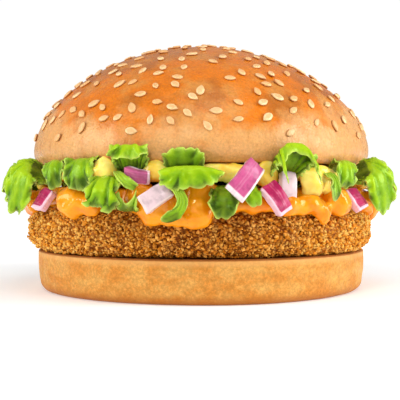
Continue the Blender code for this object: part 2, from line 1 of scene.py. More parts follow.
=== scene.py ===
"""The looks of a breaded chicken burger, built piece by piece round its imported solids.

Lengths are in millimetres until a mesh is made. Heights are above the table. A place on the burger is an
angle, a radius and a height: angle 0 is the front (-Y), and angles grow towards +X.
"""

import math
import random
from collections import namedtuple

import bmesh
import bpy
import numpy as np
from mathutils import Matrix, Quaternion, Vector, noise


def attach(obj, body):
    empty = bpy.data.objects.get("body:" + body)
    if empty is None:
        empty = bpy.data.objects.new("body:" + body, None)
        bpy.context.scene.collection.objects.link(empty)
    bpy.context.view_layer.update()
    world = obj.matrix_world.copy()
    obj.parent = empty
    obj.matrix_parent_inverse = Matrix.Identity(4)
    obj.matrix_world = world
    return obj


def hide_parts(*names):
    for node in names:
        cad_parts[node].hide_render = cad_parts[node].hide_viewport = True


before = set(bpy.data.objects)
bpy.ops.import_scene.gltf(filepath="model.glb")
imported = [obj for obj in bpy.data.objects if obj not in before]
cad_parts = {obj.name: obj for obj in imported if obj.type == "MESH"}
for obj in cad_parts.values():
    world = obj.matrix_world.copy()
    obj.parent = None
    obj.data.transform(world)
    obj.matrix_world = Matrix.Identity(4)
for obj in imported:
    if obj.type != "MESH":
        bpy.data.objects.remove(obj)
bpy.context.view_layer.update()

MM = 0.001
GOLDEN_ANGLE = math.pi * (3 - math.sqrt(5))

# The bun
CROWN_RADIUS = 51.9
CROWN_BASE = 37.0
CROWN_WAIST = 41.5
CROWN_TOP = 74.2
CROWN_RIM_RADIUS = 50.0
CROWN_LIP = 0.4
DOME_POWER = 1.8
DOME_RINGS = 70
HEEL_HEIGHT = 12.0
HEEL_RADIUS = 50.6
HEEL_FOOT_RADIUS = 50.0
HEEL_CORNER = 2.6
HEEL_EDGE = 0.7
BUN_WOBBLE = 0.35
BUN_STEPS = 300

# Sesame seeds
SEED_PLACES = 176
SEED_LENGTH = 3.3
SEED_WIDTH = 2.0
SEED_DEPTH = 1.1
SEED_LOWEST_SHARE = 0.93  # share of the dome's area, from its top down, that carries seeds
SEED_PROUD = 0.14  # how far a seed's middle lies above the crust, as a share of its depth
SEED_RINGS = 60
FURTHER_TRIES = 420
FURTHER_LOWEST = CROWN_WAIST + 4.5
SEED_GAP = 3.95
SOLID_SEED_EVERY = 2  # the solid crown carries every second of the places, and those seeds are the longest
LARGE_SEEDS = (1.06, 1.18)  # lengths, as shares of SEED_LENGTH
SMALLER_SEEDS = (0.86, 1.06)
SEED_NARROWING = (0.56, 0.68)  # how much of its width a seed loses at its tip

# The breaded patty and its crumbs
PATTY_RADIUS = 52.6
PATTY_BASE = 12.3
PATTY_TOP = 25.0
PATTY_FLAT_RADIUS = 46.5
PATTY_STEPS = 880
PATTY_RINGS = 86
CRAG = 0.88
CRAG_SPACING = 3.4
PATTY_SWELL = 0.35
CRUMBS = 9400
CRUMB_SIZES = (0.30, 0.78)
CRUMB_SUNK = 0.3
CRUMB_CELL = 0.98  # spacing of the crumbs that are relief in the crust
CRUMB_RELIEF = 1.15

# The soft layers
SAUCE_BASE = 25.3
SAUCE_TOP = 30.6
SAUCE_RADIUS = 50.2
CHEESE_BASE = 32.4
CHEESE_TOP = 36.7
CHEESE_RADIUS = 48.2
SOFT_VOXEL = 0.62
SOFT_FOLDS = ((0.95, 4.6, 1.0), (0.38, 2.1, 8.0), (0.08, 0.9, 3.0))  # depth, size and seed

# The lettuce
LEAF_THICKNESS = 0.42
LEAF_RIM_THICKNESS = 0.45  # as a share of the thickness
LEAF_CELL = 0.5
LEAF_LEAST_CELLS = 26
LEAF_FREE = 9.0  # how far from its root a leaf frills fully, if it is this wide
SCALLOP = 2.3  # length of one of the small lobes of a leaf's rim
SCALLOP_DEPTH = 0.7
FRILL = 5.2  # length of one wave of the frill at the rim
BLISTER = 3.6
VEIN_SPACING = 3.6
VALLEY_CELLS = 4
LEAF_SEED = 0.37  # makes the noise of each leaf its own, by the angle that the leaf faces
LEAF_CENTRE = np.array((0, 0, 22.0))
SHADED_UNDERSIDE = 0.2  # how bright the inner skin is, as a share of the outer one: painted shade on the skin that faces in
RIM_WIDTH = 0.42
LOBES = 0.012
ROOT_SHARE = 0.55
CURVE_SHARE = 0.85
ARCH_POWER = 0.75

# How strongly a leaf frills and ruffles, and how much painted shade darkens it low down and all over, where
# it isn't the usual
FRILLED = {"saddle": 0.4, "cup": 0.4, "tongue": 0.5, "hood_right": 0.55, "hood_left": 0.7, "flap": 0.7}
FRILLED |= {"left_outer": 0.4, "right_outer": 0.4, "left_inner": 0.6, "right_inner": 0.6, "behind_left": 0.6}
RUFFLED = {"left_outer": 0.45, "right_outer": 0.45}
LOW_PAINTED_SHADE = {"left_inner": 0.9, "right_inner": 0.7, "behind_left": 0.9, "hump": 0.7, "flap": 0.5}
LOW_PAINTED_SHADE |= {"left_outer": 0.05, "right_outer": 0.05}
PAINTED_SHADE = {"cup": 0.42, "sliver": 0.3, "hump": 0.1, "left_inner": 0.15, "behind_left": 0.1, "tongue": 0.1}

# The leaf that lies right through
BED_RADIUS = 43.0
BED_HEIGHT = 31.5
BED_WAVE = 0.7
BED_RUFFLE = 0.9
BED_CELLS = 90

ONION_THICKNESS = 2.1
ONION_CORNER = 0.3
ONION_CUTS = 11
ONION_SEED = 0.21

# A leaf's spine runs from the root, between the layers, out to the tip, as four (angle, radius, height)
# points. Its breadth lies level and across the angle that it faces, then rolls about the spine. A fold bends
# its sides down.
Leaf = namedtuple("Leaf", "name spine width face roll fold ruffle waves phase taper")
Onion = namedtuple("Onion", "name angle radius height length width spin pitch turn")
Blob = namedtuple("Blob", "angle radius height half_width half_depth half_height")

# The right side's leaves, which the left side mirrors
OUTER_SPINE = ((61, 47, 31.8), (60, 56.5, 37.0), (56, 59.8, 39.0), (63.5, 59.2, 21.6))
MIDDLE_SPINE = ((80, 46.5, 31.6), (79, 54, 43.0), (79, 60, 37.5), (79, 58.6, 25.6))
INNER_SPINE = ((50, 46, 32.4), (49, 53, 42.6), (44.5, 57.4, 36.6), (44.5, 55.4, 29.6))
SIDE_LEAVES = (
    Leaf("outer", OUTER_SPINE, 9.5, 90, 56, 0.8, 1.1, 2.6, 0.4, 0.15),
    Leaf("middle", MIDDLE_SPINE, 17.0, 80, 0, 1.2, 1.5, 2.4, 1.1, 0.2),
    Leaf("inner", INNER_SPINE, 6.8, 34, 0, 0.6, 0.8, 1.5, 0.8, 0.2),
)

# The front's leaves, from left to right
BEHIND_SPINE = ((-36, 46, 32.4), (-36, 53, 43.0), (-35, 57, 37.2), (-36, 54.6, 28.8))
HOOD_LEFT_SPINE = ((-21, 46, 32.4), (-20, 54, 33.4), (-19, 54.6, 48.6), (-18.6, 57.6, 36.6))
STRIP_SPINE = ((-24.2, 53, 34.6), (-20.4, 58.4, 34.0), (-18.0, 58.4, 31.0), (-15.6, 56.8, 30.8))
HUMP_SPINE = ((-26.6, 46.5, 30.6), (-25.8, 55, 36.6), (-24.2, 62, 31.0), (-26.0, 58.8, 24.6))
POCKET_SPINE = ((-19.7, 50.6, 24.8), (-19.2, 56.2, 23.8), (-18.7, 58.1, 26.0), (-19.0, 57.3, 29.4))
FLAP_SPINE = ((-4.6, 47, 34.4), (-4.6, 50.4, 34.8), (-4.4, 53.4, 36.8), (-4.6, 53.6, 41.0))
SADDLE_SPINE = ((-2.6, 46, 30.4), (-3.0, 54, 34.6), (-2.6, 60.6, 40.6), (-1.4, 59, 29.2))
TAIL_SPINE = ((-8.2, 57.4, 31.6), (-2.6, 59, 29.4), (-2.8, 59.6, 23.4), (-10.5, 58.2, 22.2))
CUP_SPINE = ((6.6, 46.5, 31.0), (6.4, 54, 31.0), (5.8, 59.4, 26.0), (5.8, 56.6, 22.2))
TONGUE_SPINE = ((12.2, 47, 31.4), (11.8, 54, 33.2), (12.6, 58.6, 30.2), (15.0, 57.4, 25.4))
HOOD_RIGHT_SPINE = ((25.4, 46, 32.4), (25.2, 54, 33.4), (25.0, 54.8, 48.4), (25.0, 58.4, 38.4))
WISP_SPINE = ((34.0, 45, 32.8), (33.9, 50, 33.6), (33.7, 53.4, 35.4), (33.4, 53.8, 39.8))
SLIVER_SPINE = ((38.6, 47, 32.6), (40.5, 55.5, 37.4), (39.2, 58, 31.0), (37.7, 57, 26.4))
FRONT_LEAVES = (
    Leaf("lettuce_behind_left", BEHIND_SPINE, 9.4, -28, 0, 0.8, 0.9, 2.0, 2.2, 0.15),
    Leaf("lettuce_hood_left", HOOD_LEFT_SPINE, 9.6, -18, 0, 1.8, 0.5, 2.0, 0.6, 0.1),
    Leaf("lettuce_strip", STRIP_SPINE, 2.6, -20, 0, 0.3, 0.3, 1.5, 0.4, 0.1),
    Leaf("lettuce_hump", HUMP_SPINE, 8.2, -24, 0, 2.0, 0.9, 2.5, 2.6, 0.1),
    Leaf("lettuce_pocket", POCKET_SPINE, 5.7, -19, 0, -0.8, 0.4, 1.5, 0.2, -0.25),
    Leaf("lettuce_flap", FLAP_SPINE, 10.4, -4, 0, 0.6, 0.5, 2.0, 1.2, 0.1),
    Leaf("lettuce_saddle", SADDLE_SPINE, 15.4, -2, 0, 3.0, 0.5, 1.5, 0.5, 0.2),
    Leaf("lettuce_tail", TAIL_SPINE, 2.8, -5, 0, 0.3, 0.3, 1.0, 0.5, 0.15),
    Leaf("lettuce_cup", CUP_SPINE, 7.0, 6, 0, -2.4, 0.3, 1.0, 0.8, 0.2),
    Leaf("lettuce_tongue", TONGUE_SPINE, 4.4, 13, 0, 0.6, 0.3, 1.0, 0.9, 0.2),
    Leaf("lettuce_hood_right", HOOD_RIGHT_SPINE, 9.6, 25, 0, 9.0, 0.4, 2.0, 0.3, 0.0),
    Leaf("lettuce_wisp", WISP_SPINE, 4.6, 33, 0, -0.8, 0.3, 1.0, 0.9, 0.15),
    Leaf("lettuce_sliver", SLIVER_SPINE, 3.0, 38, 0, -0.6, 0.3, 1.0, 0.5, 0.1),
)

# Spines of the back's leaves, whose angles are counted from the leaf's own
HANGING = ((0, 46, 32.4), (0, 55, 41.0), (0, 58, 37.0), (0, 54.8, 29.2))
DROOPING = ((0, 46, 32.4), (0, 55.5, 43.0), (0, 60.5, 37.0), (2, 58.6, 23.6))
HOODED = ((0, 46, 32.4), (0, 54.4, 35.4), (0, 55.4, 44.6), (0, 59.4, 38.0))
BACK_SPINES = (HANGING, DROOPING, HOODED, DROOPING)
BACK_WIDTHS = (15, 19)
BACK_HOOD_WIDTHS = (10, 12)
BACK_FOLDS = (0.5, 3.0)
BACK_WAVINESS = ((0.7, 1.1), (1.5, 3), (0, 3))  # limits of the ruffle, the waves and the phase
BACK_TAPER = 0.2
BACK_LEAVES = 8
BACK_FIRST_ANGLE = 102.0
BACK_LAST_ANGLE = 258.0

SIDE_ONION = Onion("side", 52.5, 54.6, 27.4, 6.8, 6.4, 8, -34, 0)
FRONT_ONIONS = (
    Onion("onion_small", -17.2, 54.0, 33.4, 6.6, 3.6, -12, 24, 0),
    Onion("onion_pale", -11.2, 57.0, 28.2, 8.0, 4.8, 33, -6, 0),
    Onion("onion_long", 11.4, 58.2, 32.6, 10.8, 5.4, 47, -14, 12),
    Onion("onion_bright", 19.9, 57.0, 27.8, 8.2, 4.9, -60, -16, 6),
    Onion("onion_hooded", 25.0, 53.6, 30.6, 7.8, 4.6, 84, -4, 0),
)
BACK_ONION_ANGLES = (104, 130.5, 155, 180, 204.5, 231)
BACK_ONION_RADIUS = 56.2
BACK_ONION_HEIGHT = 27.4
BACK_ONION_PITCH = -14

SAUCE_BLOBS = (
    Blob(-72, 51.4, 24.9, 5.4, 2.8, 2.7),
    Blob(-41, 51.8, 26.5, 6.0, 3.8, 4.7),
    Blob(-34, 51.4, 25.6, 3.6, 3.0, 3.2),
    Blob(-17, 51.5, 28.2, 5.0, 4.0, 4.6),
    Blob(-12, 52.0, 26.0, 6.0, 4.0, 5.4),
    Blob(-8, 53.2, 23.6, 4.4, 2.6, 3.5),
    Blob(-1, 53.0, 24.6, 4.8, 3.2, 4.5),
    Blob(0, 51.5, 28.8, 4.4, 3.5, 4.0),
    Blob(8, 51.8, 26.2, 5.0, 3.0, 3.2),
    Blob(16, 52.2, 26.6, 5.0, 3.2, 3.2),
    Blob(25, 52.2, 26.2, 5.0, 3.2, 3.2),
    Blob(33, 52.4, 26.2, 4.6, 3.3, 3.4),
    Blob(37.6, 53.4, 23.9, 2.8, 2.4, 3.7),
    Blob(45.4, 52.2, 26.8, 4.4, 3.7, 4.4),
    Blob(70, 51.4, 24.9, 5.4, 2.8, 2.7),
)
CHEESE_BLOBS = (
    Blob(-28.8, 52.2, 34.2, 4.4, 3.0, 4.3),
    Blob(-12.6, 51.0, 34.4, 3.8, 2.8, 3.4),
    Blob(4, 49.8, 34.6, 6.0, 2.2, 2.6),
    Blob(12, 50.0, 33.8, 6.0, 2.4, 3.2),
    Blob(19.6, 50.2, 34.0, 3.6, 2.6, 3.6),
    Blob(36, 50.4, 34.6, 5.6, 2.6, 2.6),
    Blob(35.4, 51.8, 31.4, 4.4, 3.2, 4.4),
    Blob(41.6, 51.0, 32.4, 3.4, 2.8, 4.0),
)
BACK_BLOB_FIRST = 80.0
BACK_BLOB_STEP = 12.5

# The photograph's view
CAMERA_DISTANCE = 270.0
CAMERA_HEIGHT = 29.9
CAMERA_LENS = 77.27
CAMERA_PITCH = 0.667

# How the floor and the world glow
GLOW_REACH = (0.06, 0.24)
NEAR_GLOW = 0.22
FAR_GLOW = 0.7
WORLD_LIGHT = 0.36
WORLD_SEEN = 1.02
FLOOR_HALF = 4.0
LIT_HEIGHT = 38

# Soft boxes: name, angle, distance, height, width, how tall they are, and power
SOFTBOXES = (
    ("right_softbox", 74, 500, 210, 260, 300, 2.25),
    ("left_softbox", -70, 500, 210, 260, 300, 1.35),
    ("top_softbox", 14, 240, 600, 300, 300, 0.8),
    ("front_softbox", -16, 420, 260, 90, 90, 0.42),
)


def place(angle, radius, height):
    """The point at an angle in radians, a radius and a height."""
    return Vector((radius * math.sin(angle), -radius * math.cos(angle), height))


def tangent_frame(angle):
    """Axes of a piece that faces outwards: across to growing angles, up, and out."""
    outward = place(angle, 1, 0)
    return Matrix((place(angle + math.pi / 2, 1, 0), Vector((0, 0, 1)), outward)).transposed()


def rough_at(points, size, seed=0.0):
    """Smooth noise from -1 to 1 at each point, with features of the given size."""
    shift = Vector((seed, 1.7 * seed, -seed))
    return np.array([noise.noise(Vector(point) / size + shift) for point in points])


def radius_of(points):
    """How far each point is from the burger's axis."""
    return np.maximum(1e-6, np.hypot(points[:, 0], points[:, 1]))


def taken_from(block):
    """The corners and faces of a bmesh, which is then freed."""
    corners = np.array([vertex.co for vertex in block.verts])
    faces = [[vertex.index for vertex in face.verts] for face in block.faces]
    block.free()
    return corners, faces


def ball(subdivisions):
    """The corners and triangles of a ball of radius 1."""
    block = bmesh.new()
    bmesh.ops.create_icosphere(block, subdivisions=subdivisions, radius=1.0)
    corners, triangles = taken_from(block)
    return corners, np.array(triangles)


def show(name, mesh, material, slot, *nodes):
    """Shows a mesh in the place of the solids it stands for."""
    piece = bpy.data.objects.new(name, mesh)
    mesh.materials.append(material)
    bpy.context.scene.collection.objects.link(piece)
    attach(piece, "root")
    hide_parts(*nodes)
    return piece


def add_piece(name, points, faces, material, slot, *nodes, **attributes):
    """A smooth piece, with one number for each point and attribute, for the materials to read."""
    mesh = bpy.data.meshes.new(name)
    mesh.from_pydata((np.asarray(points) * MM).tolist(), [], [list(face) for face in faces])
    mesh.validate()
    mesh.update()
    mesh.shade_smooth()
    for key, values in attributes.items():
        attribute = mesh.attributes.new(key, "FLOAT", "POINT")
        attribute.data.foreach_set("value", np.asarray(values, dtype=np.float32))
    return show(name, mesh, material, slot, *nodes)


def revolve(profile, steps):
    """Points and faces of a solid of revolution. The (radius, height) profile runs from axis to axis."""
    angles = np.arange(steps) * 2 * math.pi / steps
    rings = np.array(profile[1:-1])
    points = np.empty((len(rings), steps, 3))
    points[:, :, 0] = rings[:, :1] * np.sin(angles)
    points[:, :, 1] = -rings[:, :1] * np.cos(angles)
    points[:, :, 2] = rings[:, 1:]
    points = [*points.reshape(-1, 3), (0, 0, profile[0][1]), (0, 0, profile[-1][1])]
    top, bottom = len(points) - 2, len(points) - 1
    last = (len(rings) - 1) * steps
    faces = []
    for i in range(steps):
        j = (i + 1) % steps
        faces.append((top, i, j))
        faces.append((bottom, last + j, last + i))
        for ring in range(0, last, steps):
            faces.append((ring + i, ring + steps + i, ring + steps + j, ring + j))
    return np.array(points), faces


def refine(profile, spacing):
    """The same profile with points no further apart than the spacing."""
    finer = [profile[0]]
    for a, b in zip(profile, profile[1:]):
        count = max(1, math.ceil(math.dist(a, b) / spacing))
        for i in range(1, count + 1):
            finer.append((a[0] + (b[0] - a[0]) * i / count, a[1] + (b[1] - a[1]) * i / count))
    return finer


def arc(centre, radius, first, last, count):
    """Points of an arc, with its angles in degrees from the outward direction up."""
    points = []
    for i in range(count + 1):
        turn = math.radians(first + (last - first) * i / count)
        points.append((centre[0] + radius * math.cos(turn), centre[1] + radius * math.sin(turn)))
    return points


def wobble(points):
    """A baked bun is never quite round: its radius swells and sinks a little with the angle."""
    angle = np.arctan2(points[:, 0], -points[:, 1])
    swell = np.sin(2 * angle + 0.7) + 0.6 * np.sin(3 * angle + 2.1) + 0.4 * np.sin(5 * angle)
    grow = 1 + BUN_WOBBLE * swell / CROWN_RADIUS
    return np.column_stack((points[:, 0] * grow, points[:, 1] * grow, points[:, 2]))


def dome_profile(count):
    """(radius, height) points of the crown's outside, from its top to its widest ring."""
    rise = CROWN_TOP - CROWN_WAIST
    points = []
    for i in range(count + 1):
        turn = math.pi / 2 * (1 - i / count)
        radius = CROWN_RADIUS * max(0.0, math.cos(turn)) ** (2 / DOME_POWER)
        points.append((radius, CROWN_WAIST + rise * math.sin(turn) ** (2 / DOME_POWER)))
    points[0] = (0.0, CROWN_TOP)
    return points


def build_crown(material):
    """The crown's crust, with faint dents and a rounded lower edge."""
    tuck = CROWN_WAIST - CROWN_BASE
    profile = dome_profile(DOME_RINGS)
    for i in range(1, 9):
        turn = math.pi / 2 * i / 8
        inward = (CROWN_RADIUS - CROWN_RIM_RADIUS + CROWN_LIP) * (1 - math.cos(turn))
        profile.append((CROWN_RADIUS - inward, CROWN_WAIST - tuck * math.sin(turn)))
    profile += refine([(CROWN_RIM_RADIUS - CROWN_LIP, CROWN_BASE), (38.0, CROWN_BASE + 0.1)], 1.5)[1:]
    profile += [(20.0, CROWN_BASE + 0.1), (0.0, CROWN_BASE + 0.1)]
    points, faces = revolve(profile, BUN_STEPS)
    points = wobble(points)
    dents = 0.28 * rough_at(points, 17.0, 3.0) + 0.12 * rough_at(points, 6.0, 5.0)
    outward = points - np.array((0, 0, CROWN_BASE))
    outward /= np.linalg.norm(outward, axis=1)[:, None]
    fade = np.clip((points[:, 2] - CROWN_BASE) / 3, 0, 1)
    points = points + outward * (dents * fade - 0.1)[:, None]
    return add_piece("crown_crust", points, faces, material, "bun", "crown")


def on_dome(upper, lower, part, angle):
    """The place part of the way from one ring of the dome down to the next, and the way out from there."""
    (r0, z0), (r1, z1) = upper, lower
    down = Vector((r1 - r0, 0, z1 - z0)).normalized()
    point = place(angle, r0 + (r1 - r0) * part, z0 + (z1 - z0) * part)
    return Vector(wobble(np.array([point]))[0]), place(angle, -down.z, down.x)


def seed_places():
    """(point, outward normal, spin) of seeds on a spiral that covers the crown's area evenly."""
    profile = dome_profile(SEED_RINGS)
    draw = random.Random(11)
    rings = list(zip(profile, profile[1:]))
    areas = [(a[0] + b[0]) * math.dist(a, b) for a, b in rings]
    places = []
    for i in range(SEED_PLACES):
        share = SEED_LOWEST_SHARE * (i + 0.5 + draw.uniform(-2, 2)) / SEED_PLACES
        wanted = max(0.001, share) * sum(areas)
        ring = 0
        while ring < len(areas) - 1 and wanted > areas[ring]:
            wanted -= areas[ring]
            ring += 1
        angle = i * GOLDEN_ANGLE + draw.uniform(-0.12, 0.12)
        point, normal = on_dome(*rings[ring], min(1.0, wanted / areas[ring]), angle)
        places.append((point, normal, draw.uniform(0, 2 * math.pi)))
    return places


def between_seeds(places):
    """The same places and further ones on a wider spiral, left out wherever a seed would touch another."""
    profile = dome_profile(SEED_RINGS)
    draw = random.Random(5)
    kept = list(places)
    for i in range(FURTHER_TRIES):
        share = (i + 0.5) / FURTHER_TRIES
        ring = min(len(profile) - 2, int(share**0.62 * (len(profile) - 1)))
        if profile[ring][1] < FURTHER_LOWEST:
            break
        angle = i * GOLDEN_ANGLE + 1.3 + draw.uniform(-0.1, 0.1)
        point, normal = on_dome(profile[ring], profile[ring + 1], 0, angle)
        if min((point - other[0]).length for other in kept) > SEED_GAP:
            kept.append((point, normal, draw.uniform(0, 2 * math.pi)))
    return kept


def seed_shape(draw, corners, size):
    """A flat teardrop with its tip along X, and a low ridge round its face."""
    x, y, z = corners.T
    edge = np.hypot(x, y)
    face_dip = 1 - 0.22 * np.exp(-((edge / 0.55) ** 2)) + 0.08 * np.exp(-(((edge - 0.72) / 0.16) ** 2))
    taper = 1 - draw.uniform(*SEED_NARROWING) * np.clip(x, 0, None) ** 1.4
    length = SEED_LENGTH / 2 * size
    width = SEED_WIDTH / 2 * size * draw.uniform(0.92, 1.06)
    depth = SEED_DEPTH / 2 * draw.uniform(0.9, 1.15)
    return np.column_stack((x * length, y * width * taper, z * depth * np.where(z > 0, face_dip, 1)))


def build_seeds(material):
    """Every seed, a third sunk in the crust."""
    draw = random.Random(29)
    corners, triangles = ball(3)
    points, faces, tones = [], [], []
    for i, (point, normal, spin) in enumerate(between_seeds(seed_places())):
        large = i < SEED_PLACES and i % SOLID_SEED_EVERY == 0
        size = draw.uniform(*(LARGE_SEEDS if large else SMALLER_SEEDS))
        shape = seed_shape(draw, corners, size)
        tilt = Matrix.Rotation(draw.uniform(-0.12, 0.12), 3, "Y")
        rest = normal.to_track_quat("Z", "Y").to_matrix() @ Matrix.Rotation(spin, 3, "Z") @ tilt
        faces.append(triangles + len(points) * len(corners))
        points.append(shape @ np.array(rest).T + np.array(point + normal * SEED_DEPTH * SEED_PROUD))
        tones.append(np.full(len(corners), draw.random()))
    count = len(points)
    x, y, z = corners.T
    inner = np.hypot(x / 0.72, y / 0.66)
    return add_piece(
        "sesame_seeds",
        np.concatenate(points),
        np.concatenate(faces),
        material,
        "bun",
        "crown",
        tone=np.concatenate(tones),
        tip=np.tile(np.clip(x, 0, 1) ** 3, count),
        face=np.tile(np.clip((1 - inner) * 4, 0, 1) * (z > 0), count),
        # Painted contact shadow: the seed's lower sides, where it meets the crust.
        foot=np.tile(np.clip((0.38 - z) / 0.4, 0, 1), count),
    )


def build_heel(material):
    """The lower bun, with the small rolls and dents of a soft crust."""
    profile = [(0, HEEL_HEIGHT), (20, HEEL_HEIGHT), (40, HEEL_HEIGHT)]
    profile += arc((HEEL_RADIUS - HEEL_EDGE, HEEL_HEIGHT - HEEL_EDGE), HEEL_EDGE, 90, 0, 6)
    upper, waist = (HEEL_RADIUS, HEEL_HEIGHT - HEEL_EDGE), (HEEL_RADIUS - 0.1, HEEL_HEIGHT / 2)
    profile += refine([upper, waist, (HEEL_FOOT_RADIUS, HEEL_CORNER)], 0.6)[1:]
    profile += arc((HEEL_FOOT_RADIUS - HEEL_CORNER, HEEL_CORNER), HEEL_CORNER, 0, -90, 12)[1:]
    profile += [(40, 0), (20, 0), (0, 0)]
    points, faces = revolve(profile, BUN_STEPS)
    points = wobble(points)
    radius = radius_of(points)
    stretched = points * np.array((1, 1, 2.2))
    dents = 0.22 * rough_at(stretched, 14.0, 7.0) + 0.10 * rough_at(stretched, 5.0, 9.0)
    share = np.clip((radius - 44) / 4, 0, 1) * (dents - 0.08) / radius
    points[:, :2] *= (1 + share)[:, None]
    return add_piece("heel_bread", points, faces, material, "bun", "heel")


def crag(points):
    """Crags of the breaded crust: the side is pushed in and out, and the flat faces stay flat."""
    radius = radius_of(points)
    edge = np.clip((radius - PATTY_FLAT_RADIUS) / 3, 0, 1)
    rough = rough_at(points, CRAG_SPACING) + 0.6 * rough_at(points, CRAG_SPACING / 2.3)
    swell = PATTY_SWELL * np.sin(3 * np.arctan2(points[:, 0], points[:, 1]) + 1.3)
    push = edge * (CRAG * rough + swell)
    moved = points * (1 + push / radius)[:, None]
    height = points[:, 2] + push * (points[:, 2] - (PATTY_TOP + PATTY_BASE) / 2) / (PATTY_TOP - PATTY_BASE)
    moved[:, 2] = np.clip(height, PATTY_BASE, PATTY_TOP)
    return moved


def patty_profile(count):
    """(radius, height) points of the patty, from the top of its axis to the bottom."""
    middle = (PATTY_TOP + PATTY_BASE) / 2
    half = (PATTY_TOP - PATTY_BASE) / 2
    bulge = PATTY_RADIUS - PATTY_FLAT_RADIUS
    profile = [(0, PATTY_TOP), (30, PATTY_TOP), (PATTY_FLAT_RADIUS - 4, PATTY_TOP)]
    for i in range(count + 1):
        turn = math.pi / 2 - math.pi * i / count
        across = math.copysign(abs(math.sin(turn)) ** 0.85, turn)
        profile.append((PATTY_FLAT_RADIUS + bulge * abs(math.cos(turn)) ** 0.75, middle + half * across))
    profile += [(PATTY_FLAT_RADIUS - 4, PATTY_BASE), (30, PATTY_BASE), (0, PATTY_BASE)]
    return profile


def crumb_relief(points, cell, seed):
    """Rounded crumbs with cracks between them, from 0 in a crack to 1, and a tone for each crumb."""
    shift = Vector((seed, -seed, 0.5 * seed))
    heights = np.empty(len(points))
    tones = np.empty(len(points))
    for i, point in enumerate(points):
        distances, centres = noise.voronoi(Vector(point) / cell + shift)
        heights[i] = min(1.0, 1.6 * (distances[1] - distances[0])) * (1.15 - distances[0])
        tones[i] = noise.cell(centres[0] * 7.3)
    return np.clip(heights, 0, 1), 0.5 + 0.5 * np.clip(tones, -1, 1)


def build_patty(material):
    """The fried crust: coarse crumbs with finer ones between them, over the whole side."""
    points, faces = revolve(patty_profile(PATTY_RINGS), PATTY_STEPS)
    points = crag(points)
    radius = radius_of(points)
    edge = np.clip((radius - PATTY_FLAT_RADIUS) / 3, 0, 1)
    shown = edge > 0
    coarse, fine, tone = np.zeros(len(points)), np.zeros(len(points)), np.full(len(points), 0.5)
    coarse[shown], tone[shown] = crumb_relief(points[shown], CRUMB_CELL, 2.0)
    fine[shown], _ = crumb_relief(points[shown], CRUMB_CELL * 0.55, 6.0)
    relief = 0.65 * coarse + 0.35 * fine
    lift = edge * (CRUMB_RELIEF * relief - 0.95)
    points[:, :2] *= (1 + lift / radius)[:, None]
    # Painted shade: the cracks between crumbs come out deep brown.
    marks = {"tone": tone, "proud": np.clip(relief * 1.5, 0, 1), "browned_and_shaded": browning_and_shade(points)}
    return add_piece("patty_crust", points, faces, material, "breading", "patty", **marks)


def browning_and_shade(points):
    """How dark the crust is: three broad stretches round the side, ragged at their ends, one of them facing
    the front. They stand for browner frying and for painted shade at the front, which lies dim between the
    side lamps.
    """
    angle = np.arctan2(points[:, 0], -points[:, 1])
    return np.clip(0.5 + 0.5 * np.cos(3 * angle + 0.1) + 0.35 * rough_at(points, 6.0, 4.0), 0, 1)


def crumb_centres(draw):
    """Places of the crumbs over the patty's side and both its rims, sunk a little in its crust."""
    rim = np.array([p for p in refine(patty_profile(48), 0.5) if p[0] > PATTY_FLAT_RADIUS - 3])
    steps = np.hypot(*np.diff(rim, axis=0).T)
    along = np.concatenate(([0], np.cumsum(steps)))
    where = draw.uniform(0, along[-1], CRUMBS)
    radius = np.interp(where, along, rim[:, 0])
    height = np.interp(where, along, rim[:, 1])
    angle = draw.uniform(0, 2 * math.pi, CRUMBS)
    centres = crag(np.column_stack((radius * np.sin(angle), -radius * np.cos(angle), height)))
    centres[:, :2] *= (1 - CRUMB_SUNK / radius_of(centres))[:, None]
    return centres


def crumb_shapes(draw, corners):
    """Crumbs of uneven sizes and shapes, each round its own middle and turned any way."""
    smallest, largest = CRUMB_SIZES
    size = smallest + (largest - smallest) * draw.random(CRUMBS) ** 2.2
    second = size * draw.uniform(0.55, 0.9, CRUMBS)
    third = size * draw.uniform(0.4, 0.8, CRUMBS)
    lumps = draw.uniform(0.68, 1.25, (CRUMBS, len(corners), 1))
    shapes = corners[None] * lumps * np.column_stack((size, second, third))[:, None, :]
    turns = np.array([Quaternion(q).normalized().to_matrix() for q in draw.normal(size=(CRUMBS, 4))])
    return np.einsum("nij,nkj->nki", turns, shapes)


def build_crumbs(material):
    """Irregular crumbs, each with its own tone."""
    draw = np.random.default_rng(17)
    centres = crumb_centres(draw)
    corners, triangles = ball(1)
    points = (crumb_shapes(draw, corners) + centres[:, None, :]).reshape(-1, 3)
    points[:, 2] = np.clip(points[:, 2], PATTY_BASE - 0.15, PATTY_TOP + 0.6)
    faces = (triangles[None] + (np.arange(CRUMBS) * len(corners))[:, None, None]).reshape(-1, 3)
    tone = np.repeat(draw.random(CRUMBS), len(corners))
    inner = np.repeat(radius_of(centres), len(corners))
    # Painted shade: each crumb darker on its inner side, towards the crust.
    proud = np.clip(0.75 + 0.6 * (radius_of(points) - inner), 0, 1)
    marks = {"tone": tone, "proud": proud, "browned_and_shaded": np.repeat(browning_and_shade(centres), len(corners))}
    return add_piece("patty_crumbs", points, faces, material, "breading", "patty", **marks)


def spine_at(spine, along):
    """Points and unit directions at shares of a leaf's spine."""
    points = [np.array(place(math.radians(angle), radius, height)) for angle, radius, height in spine]
    steps = [b - a for a, b in zip(points, points[1:])]
    weights = [(1 - along) ** 3, 3 * along * (1 - along) ** 2, 3 * along**2 * (1 - along), along**3]
    slopes = [(1 - along) ** 2, 2 * along * (1 - along), along**2]
    point = sum(weight[..., None] * p for weight, p in zip(weights, points))
    return point, unit(sum(slope[..., None] * step for slope, step in zip(slopes, steps)))


def unit(vectors):
    return vectors / np.maximum(1e-9, np.linalg.norm(vectors, axis=-1))[..., None]


